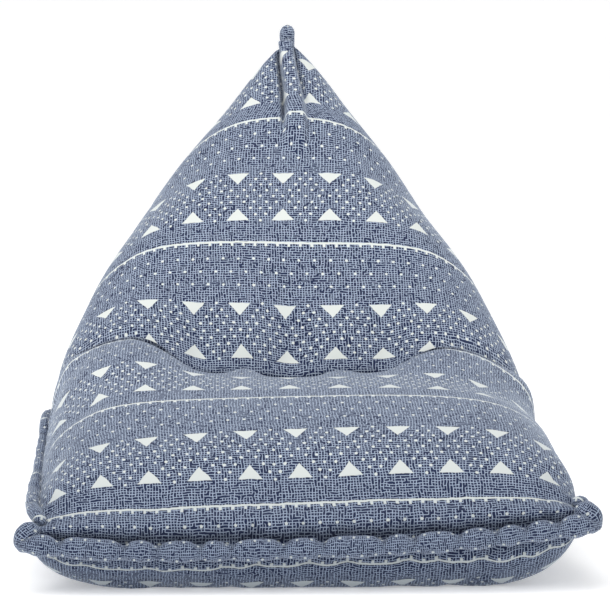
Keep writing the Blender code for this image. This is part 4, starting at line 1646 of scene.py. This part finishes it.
@dataclass
class RolledSeam:
    """A rolled edge: cloth turned over itself along a seam and drawn in by stitches."""

    name: str
    node: str
    radius: float
    path: Array
    outward: Array
    cloth_start: Array
    cloth_step: Array
    scallops: tuple[float, ...] = SCALLOPS
    pinch: float = 0.34
    pinch_reach: float = 0.0095
    # Painted shade in each stitch's fold: how dark it is, how far it reaches and how it leans round the roll
    pleat_shade: float = 0.9
    pleat_reach: float = 0.0034
    pleat_lean: float = 0.0035
    pinch_start: Pair = (0.02, 0.05)
    # How much of a stitch's pinch is left on the side away from the needle
    pinch_round: float = 0.30
    lump: float = 0.06
    lump_span: Pair = (0.008, 0.030)
    # Twisted pleats at each stitch: how high, how many round the roll, how long a turn, how far they reach
    twist_height: float = 0.035
    twist_count: int = 7
    twist_length: float = 0.035
    twist_reach: float = 0.020
    uneven: float = 0.020
    needle: float = 0.6 * math.pi
    # How long the rounded far end is, in radii
    tip: float = 1.0
    sides: int = 36
    spacing: float = 0.0028
    clear: float = 0.0006
    grow: Array | None = None
    groove: Array | None = None

    def build(self, canvas: Material, skip: Pair = (0.0, 0.0)) -> Item:
        """Builds the roll.

        Args:
            canvas: Its finish.
            skip: Lengths left off the seam's start and end.

        Returns:
            The object, riding on the body.
        """
        grow = np.ones(len(self.path)) if self.grow is None else self.grow
        line = self.path + unit(self.outward) * (self.radius * grow + self.clear)[:, None]
        lengths = path_lengths(line)
        count = int((lengths[-1] - sum(skip)) / self.spacing) + 2
        at = np.linspace(skip[0], lengths[-1] - skip[1], count)
        centre, side = rows_at(at, lengths, line), unit(rows_at(at, lengths, self.outward))
        start, step = rows_at(at, lengths, self.cloth_start), rows_at(at, lengths, self.cloth_step)
        tangent = unit(np.gradient(centre, axis=0))
        side = unit(side - tangent * np.sum(side * tangent, axis=1, keepdims=True))
        other = np.cross(tangent, side)
        turn = np.linspace(-math.pi, math.pi, self.sides + 1)
        inside = at - at[0]
        grown = np.interp(at, lengths, grow)[:, None]
        size = self.ring_sizes(inside, turn) * grown
        dome = np.clip(np.minimum(inside, (inside[-1] - inside) / self.tip) / self.radius, 0.0, 1.0)
        size = size * np.sqrt(np.maximum(1 - (1 - dome) ** 2, 1e-4))[:, None]
        turned = turn[None, :, None]
        circle = np.cos(turned) * side[:, None, :] + np.sin(turned) * other[:, None, :]
        rings = centre[:, None, :] + circle * size[:, :, None]
        self.groove = rings[:, np.argmin(np.abs(turn - 1.15 * self.needle))]
        around = turned * self.radius * grown[:, :, None]
        cloth = start[:, None, :] + step[:, None, :] * around
        piece = GridPiece(self.name)
        # Painted shade in the pleats at each stitch
        painted_fold_shade = self.pleats(inside, turn[:-1])
        piece.add_grid(rings[:, :-1], cloth, turned=True, closed=True, painted_fold_shade=painted_fold_shade)
        item = piece.build(canvas)
        self.cap(item)
        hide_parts(self.node)
        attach(item, BODY)
        LOG.info("%s: %d faces", self.name, len(item.data.polygons))
        return item

    def ring_sizes(self, inside: Array, turn: Array) -> Array:
        """Radius of each ring at each turn.

        Args:
            inside: Places along the roll.
            turn: Angles around it, 0 facing away from the bag.

        Returns:
            Radii by place and angle.
        """
        near = stitch_distance(inside, self.scallops)
        off_ends = np.minimum(inside, inside[-1] - inside)
        pinched = bell(near, 0.0, self.pinch_reach) * ease(off_ends, *self.pinch_start)
        swollen = self.lump * ease(near, *self.lump_span)
        # Stitches draw in the upper side most, where the needle goes through
        upper = self.pinch_round + (1 - self.pinch_round) * np.clip(np.cos(turn - self.needle), 0.0, 1.0)
        size = 1 + swollen[:, None] - self.pinch * pinched[:, None] * upper[None, :]
        # Twisted pleats fan out of each stitch
        pleat = np.sin(self.twist_count * turn[None, :] + 2 * math.pi * inside[:, None] / self.twist_length)
        size += self.twist_height * pleat * bell(near, 0.0, self.twist_reach)[:, None]
        size += self.uneven * np.sin(3 * turn[None, :] + inside[:, None] * 61.0)
        return self.radius * size

    def pleats(self, inside: Array, turn: Array) -> Array:
        """Painted shade in the folds, along the lines that lean round the roll from each stitch.

        Args:
            inside: Places along the roll.
            turn: Angles around it, 0 facing away from the bag.

        Returns:
            Painted shade from 0 to 1, by place and angle.
        """
        near = stitch_distance(inside[:, None] + self.pleat_lean * turn[None, :], self.scallops)
        off_ends = np.minimum(inside, inside[-1] - inside)
        upper = np.clip(0.25 + 0.75 * np.cos(turn - self.needle), 0.0, 1.0)
        depth = self.pleat_shade * bell(near, 0.0, self.pleat_reach) * upper[None, :]
        return depth * ease(off_ends, 0.01, 0.03)[:, None]

    def cap(self, item: Item) -> None:
        """Closes the two open ends of a roll and makes its faces point out.

        Args:
            item: The roll's object.
        """
        tool = bmesh.new()
        tool.from_mesh(item.data)
        edges = [e for e in tool.edges if e.is_boundary]
        bmesh.ops.holes_fill(tool, edges=edges, sides=0)
        bmesh.ops.recalc_face_normals(tool, faces=tool.faces)
        tool.to_mesh(item.data)
        tool.free()


@dataclass
class SeamSet:
    """The four rolled seams and where they lie on the bag."""

    form: LoungerForm
    canvas: Material
    stitch: RunningStitch
    front_radius: float = 0.0155
    side_radius: float = 0.0108
    back_radius: float = 0.0138
    # The part of the print that the front roll shows, and how much its cloth is gathered
    front_cloth: float = -0.0165
    front_gather: float = 0.84
    finger: float = 0.023
    finger_lean: float = -0.002
    finger_tip: float = 1.4
    turn_up: float = 0.048
    knob_swell: Pair = (0.05, 0.13)
    knob_span: Pair = (0.36, 0.43)
    # How much cloth is gathered along the front roll and round its corners
    roll_gather: float = 1.2
    corner_gather: float = 1.9
    # How far the stitches draw in each roll, and how much the front roll swells between them
    front_pinch: float = 0.46
    side_pinch: float = 0.22
    back_pinch: float = 0.24
    front_lump: float = 0.12
    # Lengths between the stitches
    side_scallops: tuple[float, ...] = (0.061, 0.043, 0.078, 0.055, 0.049, 0.090)
    back_scallops: tuple[float, ...] = (0.058, 0.071, 0.049, 0.083, 0.062)
    # How many rings at each end of a roll are left unsewn
    unsewn: int = 14
    # Lengths of the seam that a roll leaves free at its start and its end
    side_skip: Pair = (0.032, 0.030)
    back_skip: Pair = (0.016, 0.0)
    # How many columns of the print from its middle the side rolls' cloth lies, between two of triangles
    side_columns: float = 5.5
    # How much thinner a side roll is where the shoulder lies over it
    waist_thinning: float = 0.28
    waist_span: Span = (0.24, 0.40, 0.62, 0.76)

    def edge(self, panel: Panel, across: Array, runs: Array) -> tuple[Array, Array]:
        """Lays part of a panel and places it.

        Args:
            panel: Which panel.
            across: Places across it.
            runs: Places along it.

        Returns:
            The placed points and the cloth distances.
        """
        points, cloth = self.form.panel(panel, across, runs)
        return self.form.placed(points, runs), cloth

    def front(self) -> RolledSeam:
        """Lays the thick roll along the front seam.

        Returns:
            The seam, ready to build.
        """
        across = np.linspace(-1.0, 1.0, 241)
        start = self.form.panel_start
        seam, cloth = self.edge(Panel.TOP, across, np.array([start, 0.01]))
        up = np.linspace(start, start + self.turn_up, 16)
        parts = []
        for hand, side in ((Hand.LEFT, 0), (Hand.RIGHT, -1)):
            corner, turned, u = self.corner_turns(seam[0, side], cloth[0, side], hand)
            end, out = self.side_line(hand, up)
            on = u[-1] + hand.value * (up[1:] - start)
            points = np.concatenate([corner, end[1:]])
            parts.append((points, np.concatenate([turned, out[1:]]), np.append(u, on)))
        left, right = parts
        path = np.concatenate([left[0][::-1], seam[0], right[0]])
        outward = np.tile([0.0, -1.0, -0.10], (len(across), 1))
        outward = np.concatenate([left[1][::-1], outward, right[1]])
        u = np.concatenate([left[2][::-1], cloth[0], right[2]])
        cloth_start = np.stack([u * self.roll_gather, np.full(len(u), self.front_cloth)], axis=1)
        step = np.tile([0.0, -self.front_gather], (len(u), 1))
        left_swell, right_swell = self.knob_swell
        grow = 1 + left_swell * ease(-path[:, 0], *self.knob_span)
        grow += right_swell * ease(path[:, 0], *self.knob_span)
        return RolledSeam(
            "front_rolled_seam", "front_roll", self.front_radius, path, outward, cloth_start, step,
            pinch=self.front_pinch,
            lump=self.front_lump,
            needle=-0.55 * math.pi,
            grow=grow,
        )

    def corner_turns(self, corner: Array, cloth: float, hand: Hand) -> tuple[Array, Array, Array]:
        """Turns the front roll's outward direction from the front to the side, round a corner.

        Args:
            corner: The corner of the seam.
            cloth: Its distance across the cloth.
            hand: Which corner.

        Returns:
            Points, outward directions and cloth distances, from the front onwards.
        """
        turns = np.radians(np.linspace(0.0, 90.0, 13)[1:])
        points = np.tile(corner, (len(turns), 1))
        outward = np.stack([hand.value * np.sin(turns), -np.cos(turns), np.full(len(turns), -0.05)], axis=1)
        return points, outward, cloth + hand.value * turns * self.front_radius * self.corner_gather

    def side_line(self, hand: Hand, runs: Array) -> tuple[Array, Array]:
        """Finds a side seam and the directions in which its roll stands off it.

        Args:
            hand: Which side.
            runs: Evenly spaced distances along the cloth.

        Returns:
            Points and outward directions.
        """
        across = np.array([-1.0, -0.97, 0.97, 1.0])
        top, _ = self.edge(Panel.TOP, across, runs)
        under, _ = self.edge(Panel.UNDER, across, runs)
        last, near = (3, 2) if hand is Hand.RIGHT else (0, 1)
        outward = unit(np.cross(np.gradient(top[:, last], axis=0), top[:, near] - under[:, near]))
        outward *= np.sign(outward[:, :1] * hand.value)
        outward[:3] = (hand.value, 0.0, 0.0)
        return top[:, last], unit(smoothed(outward))

    def side(self, hand: Hand) -> RolledSeam:
        """The roll along one side seam.

        Args:
            hand: Which side.

        Returns:
            The seam, ready to build.
        """
        runs = np.linspace(self.form.panel_start, self.form.panel_length, 200)
        line, outward = self.side_line(hand, runs)
        u = PRINT.column_start + hand.value * self.side_columns * PRINT.column
        side = hand.name.lower()
        return RolledSeam(
            f"{side}_rolled_seam", f"{side}_roll", self.side_radius, line, outward,
            np.stack([np.full(len(runs), u), runs], axis=1),
            np.tile([hand.value, 0.0], (len(runs), 1)),
            scallops=self.side_scallops,
            pinch=self.side_pinch,
            needle=-hand.value * 0.6 * math.pi,
            grow=1 - self.waist_thinning * between(runs, *self.waist_span),
        )

    def back(self) -> RolledSeam:
        """Lays the roll down the upright seam, whose end stands over the peak like a finger.

        Returns:
            The seam, ready to build.
        """
        across = np.linspace(0.0, 1.0, 121)
        runs = np.array([self.form.panel_length - 0.01, self.form.panel_length])
        top, _ = self.edge(Panel.TOP, across, runs)
        under, _ = self.edge(Panel.UNDER, across, runs)
        seam = np.concatenate([under[-1], top[-1][::-1][1:]])
        part_up = seam[:, 2] / seam[-1, 2]
        seam[:, 0] = self.form.leaning(part_up) - self.form.origin_shift
        way = unit(seam[-1] - seam[0])
        out = unit(np.array([0.0, way[2], -way[1]]))
        reach = np.linspace(0.004, self.finger, 10)[:, None]
        tip = seam[-1] + way * reach - out * self.finger_lean * (reach / self.finger) ** 2
        path = np.concatenate([seam, tip])
        lengths = path_lengths(path)
        return RolledSeam(
            "back_rolled_seam", "back_roll", self.back_radius, path, np.tile(out, (len(path), 1)),
            np.stack([lengths, np.full(len(path), self.form.panel_length)], axis=1),
            np.tile([0.0, 1.0], (len(path), 1)),
            scallops=self.back_scallops,
            pinch=self.back_pinch,
            tip=self.finger_tip,
        )

    def build(self) -> list[Item]:
        """Builds all four rolls.

        Returns:
            The objects.
        """
        rolls = [(self.front(), (0.0, 0.0))]
        rolls += [(self.side(hand), self.side_skip) for hand in Hand]
        rolls.append((self.back(), self.back_skip))
        made = []
        tree = self.stitch.tree()
        for roll, skip in rolls:
            made.append(roll.build(self.canvas, skip))
            sewn = roll.groove[self.unsewn : -self.unsewn]
            made.append(self.stitch.build(roll.name.replace("rolled_seam", "stitches"), tree, sewn))
        return made


@dataclass(frozen=True)
class Studio:
    """A plain pale floor, soft light and the camera at the photograph's angle."""

    form: LoungerForm
    picture: int = 610
    focal_px: float = 3215.0
    axis_px: Pair = (291.5, 293.5)
    yaw: float = 1.7
    distance: float = 5.42
    aim_depth: float = 0.486
    aim_across: float = 0.0014
    eye_height: float = 0.948
    aim_height: float = 0.42
    sensor: float = 36.0
    room_light: float = 0.74
    key_place: Triple = (-0.9, -1.9, 3.5)
    key_size: float = 3.2
    key_power: float = 86.0
    key_aim: float = 0.4
    floor_reach: float = 150.0
    floor_colour: str = "FCFCFC"
    floor_roughness: float = 0.95
    # The floor's own light, which keeps it pale without a bright room
    floor_glow: float = 0.29

    def camera(self) -> None:
        """Places the camera."""
        data = bpy.data.cameras.new("camera")
        data.sensor_width = self.sensor
        data.lens = self.focal_px / self.picture * self.sensor
        data.shift_x = (self.picture / 2 - self.axis_px[0]) / self.picture
        data.shift_y = -(self.picture / 2 - self.axis_px[1]) / self.picture
        data.clip_end = 300.0
        item = add_item("camera", data)
        turn = math.radians(self.yaw)
        depth = self.aim_depth - self.form.origin_depth
        across = self.aim_across - self.form.origin_shift
        away = self.distance * np.array([math.sin(turn), math.cos(turn)])
        eye = np.array([across - away[0], depth - away[1], self.eye_height])
        aim = np.array([across, depth, self.aim_height])
        item.location = eye
        flat = math.hypot(aim[0] - eye[0], aim[1] - eye[1])
        item.rotation_euler = (math.pi / 2 + math.atan2(aim[2] - eye[2], flat), 0.0, -turn)
        bpy.context.scene.camera = item

    def key_light(self) -> None:
        """Hangs a soft square light that faces the bag."""
        data = bpy.data.lights.new("key_light", "AREA")
        data.shape = "SQUARE"
        data.size = self.key_size
        data.energy = self.key_power
        item = add_item("key_light", data)
        item.location = self.key_place
        x, y, z = self.key_place
        item.rotation_euler = (math.atan2(math.hypot(x, y), z - self.key_aim), 0.0, math.atan2(x, -y))

    def floor(self) -> None:
        """Lays the pale floor."""
        mesh = bpy.data.meshes.new("floor")
        reach = self.floor_reach
        corners = [(-reach, -reach, 0.0), (reach, -reach, 0.0), (reach, reach, 0.0), (-reach, reach, 0.0)]
        mesh.from_pydata(corners, [], [(0, 1, 2, 3)])
        material = bpy.data.materials.new("matte_white_paper")
        material.use_nodes = True
        shader = material.node_tree.nodes["Principled BSDF"]
        shader.inputs["Base Color"].default_value = linear(self.floor_colour)
        shader.inputs["Roughness"].default_value = self.floor_roughness
        shader.inputs["Emission Color"].default_value = WHITE
        shader.inputs["Emission Strength"].default_value = self.floor_glow
        mesh.materials.append(material)
        item = add_item("floor", mesh)

    def build(self) -> None:
        """Sets up the studio."""
        scene = bpy.context.scene
        world = bpy.data.worlds.new("soft_room")
        scene.world = world
        world.use_nodes = True
        background = world.node_tree.nodes["Background"]
        background.inputs["Color"].default_value = WHITE
        background.inputs["Strength"].default_value = self.room_light
        scene.view_settings.view_transform = "Standard"
        self.camera()
        self.key_light()
        self.floor()


def main() -> None:
    """Dresses the frame, piece by piece."""
    logging.basicConfig(level=logging.INFO, format="%(message)s")
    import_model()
    form = LoungerForm()
    canvas = PrintedCanvas().build()
    PrintedBag(form, canvas).build()
    stitch = RunningStitch(SewingThread().build())
    gathered = PrintedCanvas(name="gathered_cotton_canvas", print_rules=GATHERED_PRINT).build()
    made = SeamSet(form, gathered, stitch).build()
    LOG.info("%d rolls and rows of stitches", len(made))
    Studio(form).build()


if __name__ == "__main__":
    main()
